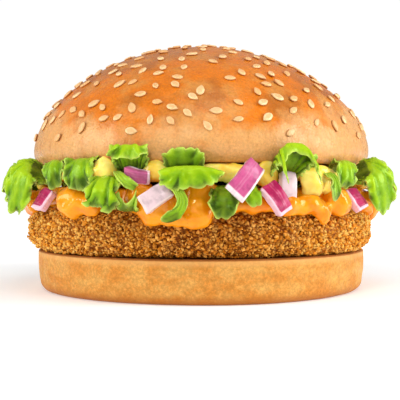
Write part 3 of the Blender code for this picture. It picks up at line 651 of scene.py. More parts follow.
def leaf_axes(leaf, direction, reach):
    """The breadth and the normal of a leaf where its spine runs in a direction, fully rolled half way."""
    level = np.array(place(math.radians(leaf.face + 90), 1, 0))
    level = unit(level - direction * (direction @ level)[..., None])
    raised = np.cross(direction, level)
    roll = math.radians(leaf.roll) * np.sin(math.pi / 2 * np.minimum(1.0, 2 * reach))[..., None]
    breadth = level * np.cos(roll) + raised * np.sin(roll)
    return breadth, np.cross(direction, breadth)


def leaf_points(leaf, across, along):
    """Points of a leaf's middle. across runs from -1 to 1, and along from 0 at the root to 1 at the tip."""
    lobes = LOBES * leaf.ruffle * np.sin(2 * leaf.waves * math.pi * across + leaf.phase)
    hollow = leaf.taper * (np.abs(across) ** 3 if leaf.taper > 0 else across**2 - 1)
    reach = along * (0.96 - hollow + lobes)
    point, direction = spine_at(leaf.spine, reach)
    breadth, normal = leaf_axes(leaf, direction, reach)
    ends, _ = spine_at(leaf.spine, np.array((0.0, 1.0)))
    down = -leaf_axes(leaf, unit(ends[1] - ends[0])[None], np.ones(1))[1][0]
    grown = ROOT_SHARE + (1 - ROOT_SHARE) * np.sin(math.pi / 2 * np.minimum(1.0, 2 * reach))
    arched = min(1.0, abs(leaf.fold) / leaf.width)
    swing = across * math.pi / 2
    sideways = (1 - arched) * across + arched * np.sign(across) * np.abs(np.sin(swing)) ** ARCH_POWER
    fall = leaf.fold * reach * (1 - np.abs(np.cos(swing)) ** ARCH_POWER)
    tip_frill = reach * (0.35 + 0.65 * across**2) * np.sin(leaf.waves * math.pi * across + leaf.phase)
    side_frill = 0.6 * np.abs(across) ** 3 * np.sin(3 * math.pi * along + leaf.phase)
    lift = leaf.ruffle * (tip_frill + side_frill)
    side = leaf.width / 2 * grown * sideways
    return point + breadth * side[..., None] + normal * lift[..., None] + down * fall[..., None]


def grid_normals(points):
    """Unit normals of a grid of points."""
    return unit(np.cross(np.gradient(points, axis=0), np.gradient(points, axis=1)))


def edge_distances(points):
    """How far each point of a grid is, along the surface, from the sides and from the tip."""
    widths = np.linalg.norm(np.diff(points, axis=0), axis=2)
    from_left = np.vstack((np.zeros(points.shape[1]), np.cumsum(widths, axis=0)))
    lengths = np.linalg.norm(np.diff(points, axis=1), axis=2)
    from_root = np.column_stack((np.zeros(points.shape[0]), np.cumsum(lengths, axis=1)))
    to_side = np.minimum(from_left, from_left[-1:] - from_left)
    to_tip = from_root[:, -1:] - from_root
    middle = from_left - from_left[-1:] / 2
    return to_side, to_tip, middle, from_root


def shell(points, normals, thickness):
    """Points and faces of a thin closed skin on both sides of a grid of points, thinner at its edges."""
    rows, columns = points.shape[:2]
    edge = np.ones((rows, columns))
    edge[0, :] = edge[-1, :] = edge[:, 0] = edge[:, -1] = LEAF_RIM_THICKNESS
    offset = normals * (thickness / 2 * edge)[:, :, None]
    both = np.concatenate(((points + offset).reshape(-1, 3), (points - offset).reshape(-1, 3)))
    index = np.arange(rows * columns).reshape(rows, columns)
    a, b, c, d = index[:-1, :-1], index[1:, :-1], index[1:, 1:], index[:-1, 1:]
    upper = np.stack((a, b, c, d), axis=-1).reshape(-1, 4)
    lower = upper[:, ::-1] + rows * columns
    border = np.concatenate((index[:, 0], index[-1, 1:], index[-2::-1, -1], index[0, -2:0:-1]))
    following = np.roll(border, -1)
    side = np.stack((following, border, border + rows * columns, following + rows * columns), axis=-1)
    return both, np.concatenate((upper, lower, side))


def leaf_veins(middle, from_root, to_side):
    """How much of a vein each point has: a rib down the middle and branches that lean towards the tip."""
    rib = np.exp(-((middle / (0.5 + 0.03 * (20 - from_root).clip(0))) ** 2))
    bend = from_root - 0.75 * np.abs(middle)
    branch = np.exp(-((((bend / VEIN_SPACING) % 1.0 - 0.5) * VEIN_SPACING / 0.34) ** 2))
    return np.maximum(rib, 0.7 * branch * np.clip(to_side / 3, 0, 1))


def valleys(points):
    """How far each point of a grid lies behind the surface around it, seen from outside, and faces up."""
    side = 2 * VALLEY_CELLS + 1
    more = (VALLEY_CELLS, VALLEY_CELLS)
    padded = np.pad(points, (more, more, (0, 0)), mode="edge")
    sums = np.pad(padded.cumsum(axis=0).cumsum(axis=1), ((1, 0), (1, 0), (0, 0)))
    total = sums[side:, side:] - sums[:-side, side:] - sums[side:, :-side] + sums[:-side, :-side]
    normals = grid_normals(points)
    normals = normals * outside_of(points, normals)[..., None]
    depth = ((total / side**2 - points) * normals).sum(axis=-1)
    return depth, normals[..., 2]


def outside_of(points, normals):
    """1 where a normal points away from the middle of the burger, and -1 where it points in."""
    return np.sign((normals * (points - LEAF_CENTRE)).sum(axis=-1))


def two_sided_shading(tone, points):
    """A tone for both skins of a leaf, much darker on the one that faces in, as painted shade."""
    outer = outside_of(points, grid_normals(points)) > 0
    first = np.where(outer, tone, SHADED_UNDERSIDE * tone)
    second = np.where(outer, SHADED_UNDERSIDE * tone, tone)
    return np.concatenate((first.ravel(), second.ravel()))


def own(table, leaf, usual):
    """A leaf's own value from a table, or the usual one."""
    return table.get(leaf.name.removeprefix("lettuce_"), usual)


def leaf_light_and_shade(leaf, points):
    """Painted light and shade: 0 where a leaf is darkest, in valleys and low down, and 1 where it is
    brightest, on upper ridges.
    """
    depth, upward = valleys(points)
    height = points[..., 2]
    low = (height.max() - height) / max(1e-6, height.max() - height.min())
    # Painted shade in the valleys, low down and over a leaf's own share; painted light where the surface
    # faces up.
    shaded = own(LOW_PAINTED_SHADE, leaf, 0.35) * low**1.7 + own(PAINTED_SHADE, leaf, 0.0)
    return np.clip(0.58 - depth + 0.38 * upward - shaded, 0, 1)


def blisters(points, seed):
    """The rounded swellings between a leaf's finest veins, from 0 at the veins to 1."""
    shift = Vector((seed, 0, -seed))
    flat = points.reshape(-1, 3)
    heights = np.empty(len(flat))
    for i, point in enumerate(flat):
        distances, _ = noise.voronoi(Vector(point) / BLISTER + shift)
        heights[i] = min(1.0, 1.5 * (distances[1] - distances[0]))
    return heights.reshape(points.shape[:2])


def scalloped(points, across, rim_place, to_side, to_tip, size):
    """Moves the rim in and out along the leaf, in small rounded lobes with sharp notches."""
    lobes = size * (np.abs(np.sin(math.pi * rim_place / SCALLOP)) ** 0.6 - 0.6)
    outward = unit(np.gradient(points, axis=0)) * (np.sign(across) * np.exp(-to_side / 0.9))[..., None]
    forward = unit(np.gradient(points, axis=1)) * np.exp(-to_tip / 0.9)[..., None]
    return points + (outward + forward) * lobes[..., None]


def leaf_grid(leaf):
    """A leaf's length, and how far across and along it each point of its grid lies."""
    ends = [place(math.radians(angle), radius, height) for angle, radius, height in leaf.spine]
    length = CURVE_SHARE * sum((b - a).length for a, b in zip(ends, ends[1:]))
    breadth = leaf.width + 1.2 * abs(leaf.fold) + 4 * leaf.ruffle
    rows = max(LEAF_LEAST_CELLS, round(breadth / LEAF_CELL)) + 1
    columns = max(LEAF_LEAST_CELLS, round(length / LEAF_CELL)) + 1
    across, along = np.meshgrid(np.linspace(-1, 1, rows), np.linspace(0, 1, columns), indexing="ij")
    return length, across, along


def leaf_lift(leaf, points, rim_place, rim, free, veins):
    """How far waves, dents, blisters and veins lift each point of a leaf, where it is free to frill."""
    seed = leaf.face * LEAF_SEED
    wide_wave = np.sin(2 * math.pi * rim_place / FRILL + leaf.phase) * np.exp(-rim / 2.2)
    fine_wave = np.sin(4.6 * math.pi * rim_place / FRILL + 2 * leaf.phase) * np.exp(-rim / 0.8)
    broad = rough_at(points.reshape(-1, 3), 6.5, seed).reshape(rim.shape)
    lesser = rough_at(points.reshape(-1, 3), 3.0, seed + 4).reshape(rim.shape)
    lift = free * (0.85 * wide_wave + 0.36 * fine_wave + 0.75 * broad + 0.4 * lesser)
    return lift + (0.12 * (blisters(points, seed) - 0.5) * free - 0.06 * veins)


def build_leaf(leaf, material):
    """A leaf with a scalloped, frilled rim, blisters between its veins and a thin skin."""
    length, across, along = leaf_grid(leaf)
    points = leaf_points(leaf._replace(ruffle=leaf.ruffle * own(RUFFLED, leaf, 1.0)), across, along)
    to_side, to_tip, middle, from_root = edge_distances(points)
    rim = np.minimum(to_side, to_tip)
    rim_place = leaf.width / 2 * across + length * (1 - along) * across
    flat = np.column_stack((rim_place.ravel(), rim.ravel(), 0 * rim.ravel()))
    ragged = rough_at(flat, 4.0, leaf.face * LEAF_SEED)
    rim_place = rim_place + 1.6 * ragged.reshape(rim.shape)
    free = np.clip(from_root / LEAF_FREE, 0, 1) * min(1.0, leaf.width / LEAF_FREE)
    points = scalloped(points, across, rim_place, to_side, to_tip, SCALLOP_DEPTH * free)
    free = free * (own(FRILLED, leaf, 1.0) + 0.4 * np.exp(-to_tip / 2.5))
    veins = leaf_veins(middle, from_root, to_side)
    lift = leaf_lift(leaf, points, rim_place, rim, free, veins)
    points = points + grid_normals(points) * lift[:, :, None]
    both, faces = shell(points, grid_normals(points), LEAF_THICKNESS)
    return add_piece(
        leaf.name.replace("lettuce", "leaf"),
        both,
        faces,
        material,
        "lettuce",
        leaf.name,
        rim=np.tile(np.exp(-rim / RIM_WIDTH).ravel(), 2),
        vein=np.tile(veins.ravel(), 2),
        root=np.tile(np.exp(-from_root / 5).ravel(), 2),
        # Painted light and shade, much darker on the skin that faces in
        tone=two_sided_shading(leaf_light_and_shade(leaf, points), points),
    )


def build_bed(material):
    """The leaf that lies right through the burger, between the sauce and the cheese."""
    steps = np.linspace(-1, 1, BED_CELLS)
    across, along = np.meshgrid(steps, steps, indexing="ij")
    x = across * np.sqrt(1 - along**2 / 2)
    y = along * np.sqrt(1 - across**2 / 2)
    wave = np.sin(7 * x + 1.5 * np.sin(4 * y)) * np.cos(6 * y)
    outer = np.clip(np.hypot(x, y) * 4 - 3, 0, 1)
    ruffle = outer * np.sin(40 * np.arctan2(x, y))
    height = BED_HEIGHT + BED_WAVE * wave + BED_RUFFLE * ruffle
    points = np.stack((BED_RADIUS * x, BED_RADIUS * y, height), axis=-1)
    both, faces = shell(points, grid_normals(points), LEAF_THICKNESS)
    rim = np.exp(-(1 - np.maximum(np.abs(across), np.abs(along))) * BED_RADIUS)
    none = np.zeros(len(both))
    # Tone 0 paints the whole bed in the darkest green, the lettuce's painted shade.
    marks = {"rim": np.tile(rim.ravel(), 2), "vein": none, "root": none, "tone": none}
    return add_piece("leaf_bed", both, faces, material, "lettuce", "lettuce_bed", **marks)


def side_leaves(sign, side):
    """The leaves of the left (-1) or right (+1) side, which mirror each other."""
    return [
        leaf._replace(
            name=f"lettuce_{side}_{leaf.name}",
            spine=tuple((sign * angle, radius, height) for angle, radius, height in leaf.spine),
            face=sign * leaf.face,
            roll=sign * leaf.roll,
            waves=sign * leaf.waves,
        )
        for leaf in SIDE_LEAVES
    ]


def back_leaves():
    """Leaves round the back, where the photographed kinds repeat with other sizes."""
    draw = random.Random(5)
    step = (BACK_LAST_ANGLE - BACK_FIRST_ANGLE) / (BACK_LEAVES - 1)
    leaves = []
    for i in range(BACK_LEAVES):
        kind = BACK_SPINES[i % len(BACK_SPINES)]
        hooded = kind is HOODED
        middle = BACK_FIRST_ANGLE + i * step
        drop = draw.uniform(-1.5, 2.5)
        spine = [(middle + angle, radius, height) for angle, radius, height in kind]
        spine[-1] = (middle + draw.uniform(-3, 3), spine[-1][1], spine[-1][2] + (0 if hooded else drop))
        width = draw.uniform(*(BACK_HOOD_WIDTHS if hooded else BACK_WIDTHS))
        face = middle + draw.uniform(-12, 12)
        fold = BACK_FOLDS[1] if hooded else draw.uniform(*BACK_FOLDS)
        ruffle, waves, phase = (draw.uniform(*limits) for limits in BACK_WAVINESS)
        name = f"lettuce_back_{i + 1}"
        leaves.append(Leaf(name, tuple(spine), width, face, 0, fold, ruffle, waves, phase, BACK_TAPER))
    return leaves


def onion_slab(onion, seed):
    """Points and faces of a flat piece with rounded edges and slightly uneven sides."""
    block = bmesh.new()
    bmesh.ops.create_cube(block, size=1)
    bmesh.ops.subdivide_edges(block, edges=block.edges, cuts=ONION_CUTS, use_grid_fill=True)
    corners, faces = taken_from(block)
    size = np.array((onion.length, onion.width, ONION_THICKNESS))
    inner = np.clip(corners * size, -(size / 2 - ONION_CORNER), size / 2 - ONION_CORNER)
    outer = corners * size - inner
    reach = np.linalg.norm(outer, axis=1)
    rounded = inner + outer * (ONION_CORNER / np.maximum(1e-6, reach))[:, None] * (reach > 0)[:, None]
    rounded = np.where((np.abs(corners) < 0.499).all(axis=1)[:, None], corners * size, rounded)
    rounded += 0.16 * rough_at(rounded, 1.8, seed)[:, None] * corners * 2
    return rounded, faces


def bent_like_bulb(onion, slab):
    """The slab, curved like its bulb and narrower at one end."""
    bulb = 1.3 * onion.length
    turn = slab[:, 0] / bulb
    depth = bulb + slab[:, 2]
    width = slab[:, 1] * (1 - 0.16 * slab[:, 0] / onion.length)
    return np.column_stack((depth * np.sin(turn), width, depth * np.cos(turn) - bulb))


def build_onion(onion, material):
    """A diced piece of onion layer, with its skin side out and its flesh where it was cut."""
    seed = onion.angle * ONION_SEED
    slab, faces = onion_slab(onion, seed)
    angle = math.radians(onion.angle)
    rest = tangent_frame(angle)
    for axis, turned in (("Y", onion.turn), ("X", onion.pitch), ("Z", onion.spin)):
        rest = rest @ Matrix.Rotation(math.radians(turned), 3, axis)
    rest = np.array(rest)
    points = bent_like_bulb(onion, slab) @ rest.T + np.array(place(angle, onion.radius, onion.height))
    skin = np.clip(slab[:, 2] / ONION_THICKNESS + 0.62, 0, 1)
    low_end = -np.sign(rest[2, 0]) * slab[:, 0] / onion.length
    low_side = -np.sign(rest[2, 1]) * slab[:, 1] / onion.width
    cut = np.clip((np.maximum(low_end, low_side) - 0.36) / 0.08, 0, 1)
    marks = {"skin": skin * (1 - cut), "streak": slab[:, 1] + 0.5 * rough_at(slab, 3.0, seed)}
    return add_piece("cut_" + onion.name, points, faces, material, "onion", onion.name, **marks)


def all_onions():
    draw = random.Random(3)
    left = SIDE_ONION._replace(name="onion_left", angle=-SIDE_ONION.angle, spin=-SIDE_ONION.spin)
    right = SIDE_ONION._replace(name="onion_right")
    onions = [left, *FRONT_ONIONS, right]
    for i, angle in enumerate(BACK_ONION_ANGLES):
        onions.append(
            Onion(
                f"onion_back_{i + 1}",
                angle,
                BACK_ONION_RADIUS,
                BACK_ONION_HEIGHT + draw.uniform(-0.6, 0.6),
                draw.uniform(7, 9),
                draw.uniform(4.8, 5.8),
                draw.uniform(-70, 70),
                BACK_ONION_PITCH,
                draw.uniform(-8, 8),
            )
        )
    return onions


def back_blobs(seed, radius, height, half_height):
    """Bulges of a soft layer round the back, where none was photographed."""
    draw = random.Random(seed)
    blobs = []
    angle = BACK_BLOB_FIRST
    while angle <= 360 - BACK_BLOB_FIRST:
        blobs.append(
            Blob(
                angle + draw.uniform(-3, 3),
                radius + draw.uniform(-0.4, 0.6),
                height + draw.uniform(-1.4, 0.4),
                draw.uniform(4.2, 6.0),
                draw.uniform(2.4, 3.2),
                half_height * draw.uniform(0.85, 1.3),
            )
        )
        angle += BACK_BLOB_STEP
    return blobs


def build_soft_layer(name, node, slot, base, top, radius, blobs, material):
    """A soft layer: a disc and its bulges, run together and smoothed."""
    bm = bmesh.new()
    disc = Matrix.Translation((0, 0, (base + top) / 2))
    bmesh.ops.create_cone(
        bm, cap_ends=True, segments=160, radius1=radius, radius2=radius, depth=top - base, matrix=disc
    )
    for blob in blobs:
        angle = math.radians(blob.angle)
        size = Matrix.Diagonal((blob.half_width, blob.half_height, blob.half_depth, 1))
        centre = Matrix.Translation(place(angle, blob.radius, blob.height))
        bmesh.ops.create_uvsphere(
            bm, u_segments=32, v_segments=20, radius=1, matrix=centre @ tangent_frame(angle).to_4x4() @ size
        )
    bmesh.ops.scale(bm, vec=(MM, MM, MM), verts=bm.verts)
    mesh = bpy.data.meshes.new(name)
    bm.to_mesh(mesh)
    bm.free()
    piece = show(name, mesh, material, slot, node)
    voxels = piece.modifiers.new("merge", "REMESH")
    voxels.mode = "VOXEL"
    voxels.voxel_size = SOFT_VOXEL * MM
    relax = piece.modifiers.new("relax", "SMOOTH")
    relax.factor = 0.5
    relax.iterations = 14
    bpy.context.view_layer.update()
    graph = bpy.context.evaluated_depsgraph_get()
    piece.data = bpy.data.meshes.new_from_object(piece.evaluated_get(graph))
    piece.modifiers.clear()
    piece.data.shade_smooth()
    roughen(piece.data)
    return piece


def roughen(mesh):
    """Sags and folds over the sides of a soft layer, which lie flatter towards the middle."""
    points = np.array([vertex.co for vertex in mesh.vertices]) / MM
    normals = np.array([vertex.normal for vertex in mesh.vertices])
    edge = np.clip((radius_of(points) - 44) / 4, 0, 1)
    lift = np.zeros(len(points))
    shown = edge > 0
    near = points[shown]
    lift[shown] = sum(depth * rough_at(near, size, seed) for depth, size, seed in SOFT_FOLDS)
    points = points + normals * (edge * (lift - 0.1))[:, None]
    mesh.vertices.foreach_set("co", (points * MM).ravel())
    mesh.update()


def set_inputs(tree, node, inputs):
    """Sets inputs of a node, each to a socket, a number, or three numbers for a colour or a direction."""
    for name, value in inputs.items():
        socket = node.inputs[name]
        if isinstance(value, bpy.types.NodeSocket):
            tree.links.new(value, socket)
        else:
            socket.default_value = (*value, 1) if socket.type == "RGBA" else value


def add_node(tree, kind, inputs, **settings):
    """A new shader node of a kind."""
    node = tree.nodes.new("ShaderNode" + kind)
    for name, value in settings.items():
        setattr(node, name, value)
    set_inputs(tree, node, inputs)
    return node


def add_place(tree):
    """The place on the object, in metres."""
    return add_node(tree, "TexCoord", {}).outputs["Object"]


def add_noise(tree, size, detail=3.0, roughness=0.5, stretch=(1, 1, 1)):
    """The factor of a noise with features of the given size in millimetres."""
    where = add_node(tree, "Mapping", {"Vector": add_place(tree), "Scale": stretch}).outputs["Vector"]
    inputs = {"Vector": where, "Scale": 1 / (size * MM), "Detail": detail, "Roughness": roughness}
    return add_node(tree, "TexNoise", inputs).outputs["Fac"]


def add_range(tree, value, low, high, to_low=0.0, to_high=1.0):
    """The value, mapped from one range to another and held inside it."""
    inputs = {"Value": value, "From Min": low, "From Max": high, "To Min": to_low, "To Max": to_high}
    return add_node(tree, "MapRange", inputs, interpolation_type="SMOOTHSTEP").outputs["Result"]


def add_attribute(tree, name):
    return add_node(tree, "Attribute", {}, attribute_name=name).outputs["Fac"]


def add_math(tree, operation, *values):
    """The sum, product or size of values, each a socket or a number."""
    return add_node(tree, "Math", dict(enumerate(values)), operation=operation).outputs["Value"]


def add_mix(tree, factor, first, second, blend="MIX"):
    """A mix of two colours, each a socket or three numbers."""
    inputs = {0: factor, 6: first, 7: second}
    return add_node(tree, "Mix", inputs, data_type="RGBA", blend_type=blend).outputs[2]


def add_height(tree, lowest, highest, shift=0.0):
    """0 at the lowest height in millimetres, and 1 at the highest. A shift in metres makes it uneven."""
    height = add_node(tree, "SeparateXYZ", {"Vector": add_place(tree)}).outputs["Z"]
    return add_range(tree, add_math(tree, "ADD", height, shift), lowest * MM, highest * MM)


def add_side_light(tree, nearest, furthest, to_low, to_high):
    """A value that changes from the burger's middle, seen from the front, to both its sides, for painting
    light on the sides.
    """
    sideways = add_node(tree, "SeparateXYZ", {"Vector": add_place(tree)}).outputs["X"]
    return add_range(tree, add_math(tree, "ABSOLUTE", sideways), nearest * MM, furthest * MM, to_low, to_high)


def add_coats(tree, colour, *coats):
    """A colour under coats, each a mask, the share of the colour that it hides, and a colour of its own."""
    for mask, share, tint in coats:
        colour = add_mix(tree, add_math(tree, "MULTIPLY", mask, share), colour, tint)
    return colour


def add_grain(tree, colour, grain, low, high, darkest, lightest):
    """The colour, darker or lighter by a fine noise."""
    return add_mix(tree, 1.0, colour, add_range(tree, grain, low, high, darkest, lightest), "MULTIPLY")


def new_material(name, roughness):
    """A material and its node tree."""
    material = bpy.data.materials.new(name)
    material.use_nodes = True
    tree = material.node_tree
    set_inputs(tree, tree.nodes["Principled BSDF"], {"Roughness": roughness})
    return material, tree


def finished(material, colour, bumps, soft, gloss=(), rough=()):
    """The material with its colour, fine relief, softness, gloss and uneven roughness.

    A bump is a height, its depth in millimetres and its strength. Soft is how much light the surface lets
    in, how deep in millimetres, and in which colour. Gloss is how strongly it mirrors light, and in which
    colour. Rough is the size and detail of a noise, and the lowest and highest roughness.
    """
    tree = material.node_tree
    weight, depth, tint = soft
    inputs = {"Subsurface Weight": weight, "Subsurface Scale": depth * MM, "Subsurface Radius": tint}
    if gloss:
        inputs["Specular IOR Level"], inputs["Specular Tint"] = gloss
    if rough:
        size, detail, lowest, highest = rough
        inputs["Roughness"] = add_range(tree, add_noise(tree, size, detail), 0.3, 0.7, lowest, highest)
    normal = {}
    for height, distance, strength in bumps:
        relief = {"Height": height, "Distance": distance * MM, "Strength": strength}
        normal = {"Normal": add_node(tree, "Bump", relief | normal).outputs["Normal"]}
    set_inputs(tree, tree.nodes["Principled BSDF"], inputs | normal | {"Base Color": colour})
    return material


def crust_material():
    """Golden crust: glazed orange-brown on the dome, paler towards its lower edge, and that pale band reaches
    higher at both sides as painted light.
    """
    material, tree = new_material("crown_crust", 0.42)
    patches = add_range(tree, add_noise(tree, 15, 2), 0.40, 0.58)
    colour = add_mix(tree, patches, (0.47, 0.13, 0.008), (0.76, 0.19, 0.002))
    ragged = add_range(tree, add_noise(tree, 9, 3), 0.3, 0.7, -5 * MM, 5 * MM)
    # Painted light: the pale lower band rises 9 mm higher at both sides, seen from the front, where the side
    # lamps fall.
    ragged = add_math(tree, "ADD", ragged, add_side_light(tree, 24, 48, 0, -9 * MM))
    colour = add_coats(
        tree,
        colour,
        (add_range(tree, add_noise(tree, 8, 4), 0.44, 0.70), 1.0, (0.68, 0.265, 0.045)),
        (add_height(tree, 60, 74), 0.6, (0.74, 0.23, 0.03)),
        (add_height(tree, 50, 41, ragged), 0.85, (0.75, 0.39, 0.135)),
    )
    colour = add_grain(tree, colour, add_noise(tree, 0.6, 5, 0.7), 0.30, 0.75, 0.78, 1.10)
    wrinkle = add_range(tree, add_noise(tree, 1.6, 5, 0.6, (1, 1, 0.35)), 0.52, 0.70)
    colour = add_coats(tree, colour, (wrinkle, 0.35, (0.46, 0.12, 0.006)))
    bumps = ((add_noise(tree, 0.8, 6, 0.65), 0.12, 1.0), (add_noise(tree, 4.5, 3), 0.5, 0.8))
    soft = (0.06, 1.0, (1.0, 0.4, 0.1))
    return finished(material, colour, bumps, soft, (0.5, (1.0, 0.82, 0.62)), (3, 4, 0.22, 0.38))


def seed_material():
    """Cream seeds, each of its own tone: a darker face in a pale rim, with a brown painted contact shadow
    where it meets the crust.
    """
    material, tree = new_material("sesame", 0.42)
    colour = add_mix(tree, add_attribute(tree, "tone"), (0.84, 0.45, 0.16), (0.96, 0.66, 0.33))
    colour = add_coats(
        tree,
        colour,
        (add_attribute(tree, "face"), 0.75, (0.80, 0.42, 0.17)),
        # Painted contact shadow round the lower sides of each seed.
        (add_attribute(tree, "foot"), 1.0, (0.36, 0.11, 0.018)),
        (add_attribute(tree, "tip"), 0.6, (0.60, 0.27, 0.08)),
    )
    colour = add_grain(tree, colour, add_noise(tree, 0.6, 3), 0.35, 0.7, 0.88, 1.04)
    bumps = [(add_noise(tree, 0.35, 3), 0.04, 1.0)]
    return finished(material, colour, bumps, (0.1, 0.5, (1.0, 0.6, 0.3)))


def heel_material():
    """Soft bread crust: golden, with a paler band under the patty, a near-black line of painted shade just
    under its edge, and a browner foot.
    """
    material, tree = new_material("heel_bread", 0.55)
    cloud = add_range(tree, add_noise(tree, 7, 4, 0.6, (1, 1, 1.8)), 0.34, 0.68)
    colour = add_mix(tree, cloud, (0.70, 0.27, 0.040), (0.78, 0.40, 0.095))
    colour = add_grain(tree, colour, add_noise(tree, 0.8, 5, 0.75), 0.35, 0.72, 0.72, 1.12)
    colour = add_coats(
        tree,
        colour,
        (add_height(tree, 9.6, 11.2), 0.55, (0.76, 0.40, 0.13)),
        # Painted shade: a near-black line at the top of the side, under the patty's overhang.
        (add_height(tree, 11.35, 11.8), 0.8, (0.24, 0.055, 0.006)),
        (add_height(tree, 3.6, 0.4), 0.8, (0.42, 0.13, 0.015)),
    )
    bumps = ((add_noise(tree, 0.6, 6, 0.7), 0.12, 1.0), (add_noise(tree, 3, 3, 0.5, (1, 1, 2)), 0.25, 0.7))
    soft = (0.06, 1.0, (1.0, 0.45, 0.12))
    return finished(material, colour, bumps, soft, (0.25, (1.0, 0.72, 0.45)), (2, 4, 0.48, 0.68))


def breading_material():
    """Fried crumb: deep brown in the pits, which is painted shade, and gold to bright gold on what stands
    out.
    """
    material, tree = new_material("breading", 0.5)
    # The darker stretches are browner frying and painted shade, the one at the front included.
    browned_and_shaded = add_attribute(tree, "browned_and_shaded")
    dark = add_mix(tree, browned_and_shaded, (0.34, 0.085, 0.001), (0.15, 0.026, 0.0005))
    gold = add_mix(tree, browned_and_shaded, (0.86, 0.33, 0.025), (0.52, 0.160, 0.008))
    bright = add_mix(tree, browned_and_shaded, (1.0, 0.60, 0.13), (0.90, 0.42, 0.08))
    colour = add_mix(tree, add_range(tree, add_attribute(tree, "tone"), 0.25, 0.95), gold, bright)
    # Painted shade: deep brown in the pits and on the crumbs' inner sides.
    colour = add_mix(tree, add_range(tree, add_attribute(tree, "proud"), 0.10, 0.60), dark, colour)
    colour = add_grain(tree, colour, add_noise(tree, 0.45, 4, 0.7), 0.3, 0.7, 0.66, 1.15)
    bumps = [(add_noise(tree, 0.4, 4, 0.7), 0.12, 1.0)]
    soft = (0.04, 0.5, (1.0, 0.4, 0.05))
    return finished(material, colour, bumps, soft, (0.3, (1.0, 0.6, 0.25)), (1.2, 3, 0.34, 0.6))


def lettuce_material():
    """Leaf green: deep in the valleys and bright on the ridges, which is painted shade and light, with a pale
    thin rim that is a painted highlight.
    """
    material, tree = new_material("lettuce", 0.32)
    cloud = add_range(tree, add_noise(tree, 4.5, 3), 0.36, 0.66, -0.14, 0.14)
    # The tone brings painted shade and light: darkest green in valleys, low down and on the inner skin,
    # brightest on ridges.
    tone = add_math(tree, "ADD", add_attribute(tree, "tone"), cloud)
    colour = add_mix(tree, add_range(tree, tone, 0.05, 0.45), (0.018, 0.055, 0.0005), (0.15, 0.32, 0.001))
    colour = add_coats(
        tree,
        colour,
        (add_range(tree, tone, 0.45, 1.0), 1.0, (0.34, 0.53, 0.001)),
        (add_attribute(tree, "vein"), 0.25, (0.42, 0.62, 0.03)),
        (add_attribute(tree, "root"), 0.35, (0.50, 0.64, 0.12)),
        # Painted highlight: the pale rim stands for light caught by the leaf's thin edge.
        (add_attribute(tree, "rim"), 0.8, (0.60, 0.76, 0.13)),
    )
    bumps = [(add_noise(tree, 0.8, 4), 0.10, 0.8)]
    soft = (0.12, 0.5, (0.5, 1.0, 0.02))
    return finished(material, colour, bumps, soft, (0.45, (0.6, 1.0, 0.2)), (1.6, 3, 0.2, 0.36))


def onion_material(name, skin_colour, flesh_colour):
    """Onion: a coloured skin side with fine lines along it, over pale moist flesh."""
    material, tree = new_material(name, 0.2)
    inputs = {"W": add_attribute(tree, "streak"), "Scale": 1.7, "Detail": 5}
    lines = add_node(tree, "TexNoise", inputs, noise_dimensions="1D").outputs["Fac"]
    streaks = add_range(tree, lines, 0.46, 0.74)
    pale_skin = tuple(0.80 * a + 0.20 * b for a, b in zip(skin_colour, flesh_colour))
    skin = add_mix(tree, streaks, skin_colour, pale_skin)
    cloud = add_range(tree, add_noise(tree, 2.0, 3), 0.4, 0.7)
    skin = add_mix(tree, cloud, skin, tuple(0.72 * c for c in skin_colour))
    flesh = add_mix(tree, cloud, flesh_colour, tuple(0.93 * c for c in flesh_colour))
    flesh = add_coats(tree, flesh, (streaks, 0.22, skin_colour))
    colour = add_mix(tree, add_range(tree, add_attribute(tree, "skin"), 0.30, 0.62), flesh, skin)
    bumps = [(lines, 0.08, 0.5)]
    soft = (0.12, 0.6, (1.0, 0.5, 0.6))
    return finished(material, colour, bumps, soft, (0.35, (1.0, 0.8, 0.9)), (1.5, 3, 0.14, 0.28))


def melted_material(name, colour, deeper, roughness, specks, softness):
    """A smooth melted or poured layer, clouded with a deeper colour. Softness is the light it lets in."""
    material, tree = new_material(name, roughness)
    cloud = add_range(tree, add_noise(tree, 5, 3), 0.40, 0.66)
    fine = add_range(tree, add_noise(tree, 1.3, 4, 0.6), 0.60, 0.72)
    mixed = add_mix(tree, cloud, colour, deeper)
    mixed = add_coats(tree, mixed, (fine, specks, tuple(0.5 * c for c in deeper)))
    bumps = ((add_noise(tree, 1.2, 3), 0.12, 0.6), (add_noise(tree, 3.4, 2), 0.5, 0.5))
    soft = (softness, 4 * softness, (1.0, 0.5, 0.06))
    rough = (2.2, 3, 0.75 * roughness, 1.3 * roughness)
    return finished(material, mixed, bumps, soft, (0.55, (1.0, 0.85, 0.55)), rough)


def floor_material():
    """White, and brighter further out, so that it runs into the background round the burger's shadow."""
    material, tree = new_material("floor", 0.6)
    cloud = add_range(tree, add_noise(tree, 60, 2), 0.3, 0.7)
    away = add_node(tree, "VectorMath", {0: add_place(tree)}, operation="LENGTH").outputs["Value"]
    inputs = {
        "Base Color": add_mix(tree, cloud, (0.90, 0.90, 0.90), (0.92, 0.92, 0.92)),
        "Specular IOR Level": 0.1,
        "Emission Color": (1, 1, 1),
        "Emission Strength": add_range(tree, away, *GLOW_REACH, NEAR_GLOW, FAR_GLOW),
    }
    set_inputs(tree, tree.nodes["Principled BSDF"], inputs)
    return material


def build_floor():
    mesh = bpy.data.meshes.new("floor")
    corners = [(x * FLOOR_HALF, y * FLOOR_HALF, 0) for x, y in ((-1, -1), (1, -1), (1, 1), (-1, 1))]
    mesh.from_pydata(corners, [], [(0, 1, 2, 3)])
    floor = bpy.data.objects.new("floor", mesh)
    mesh.materials.append(floor_material())
    bpy.context.scene.collection.objects.link(floor)
    return floor


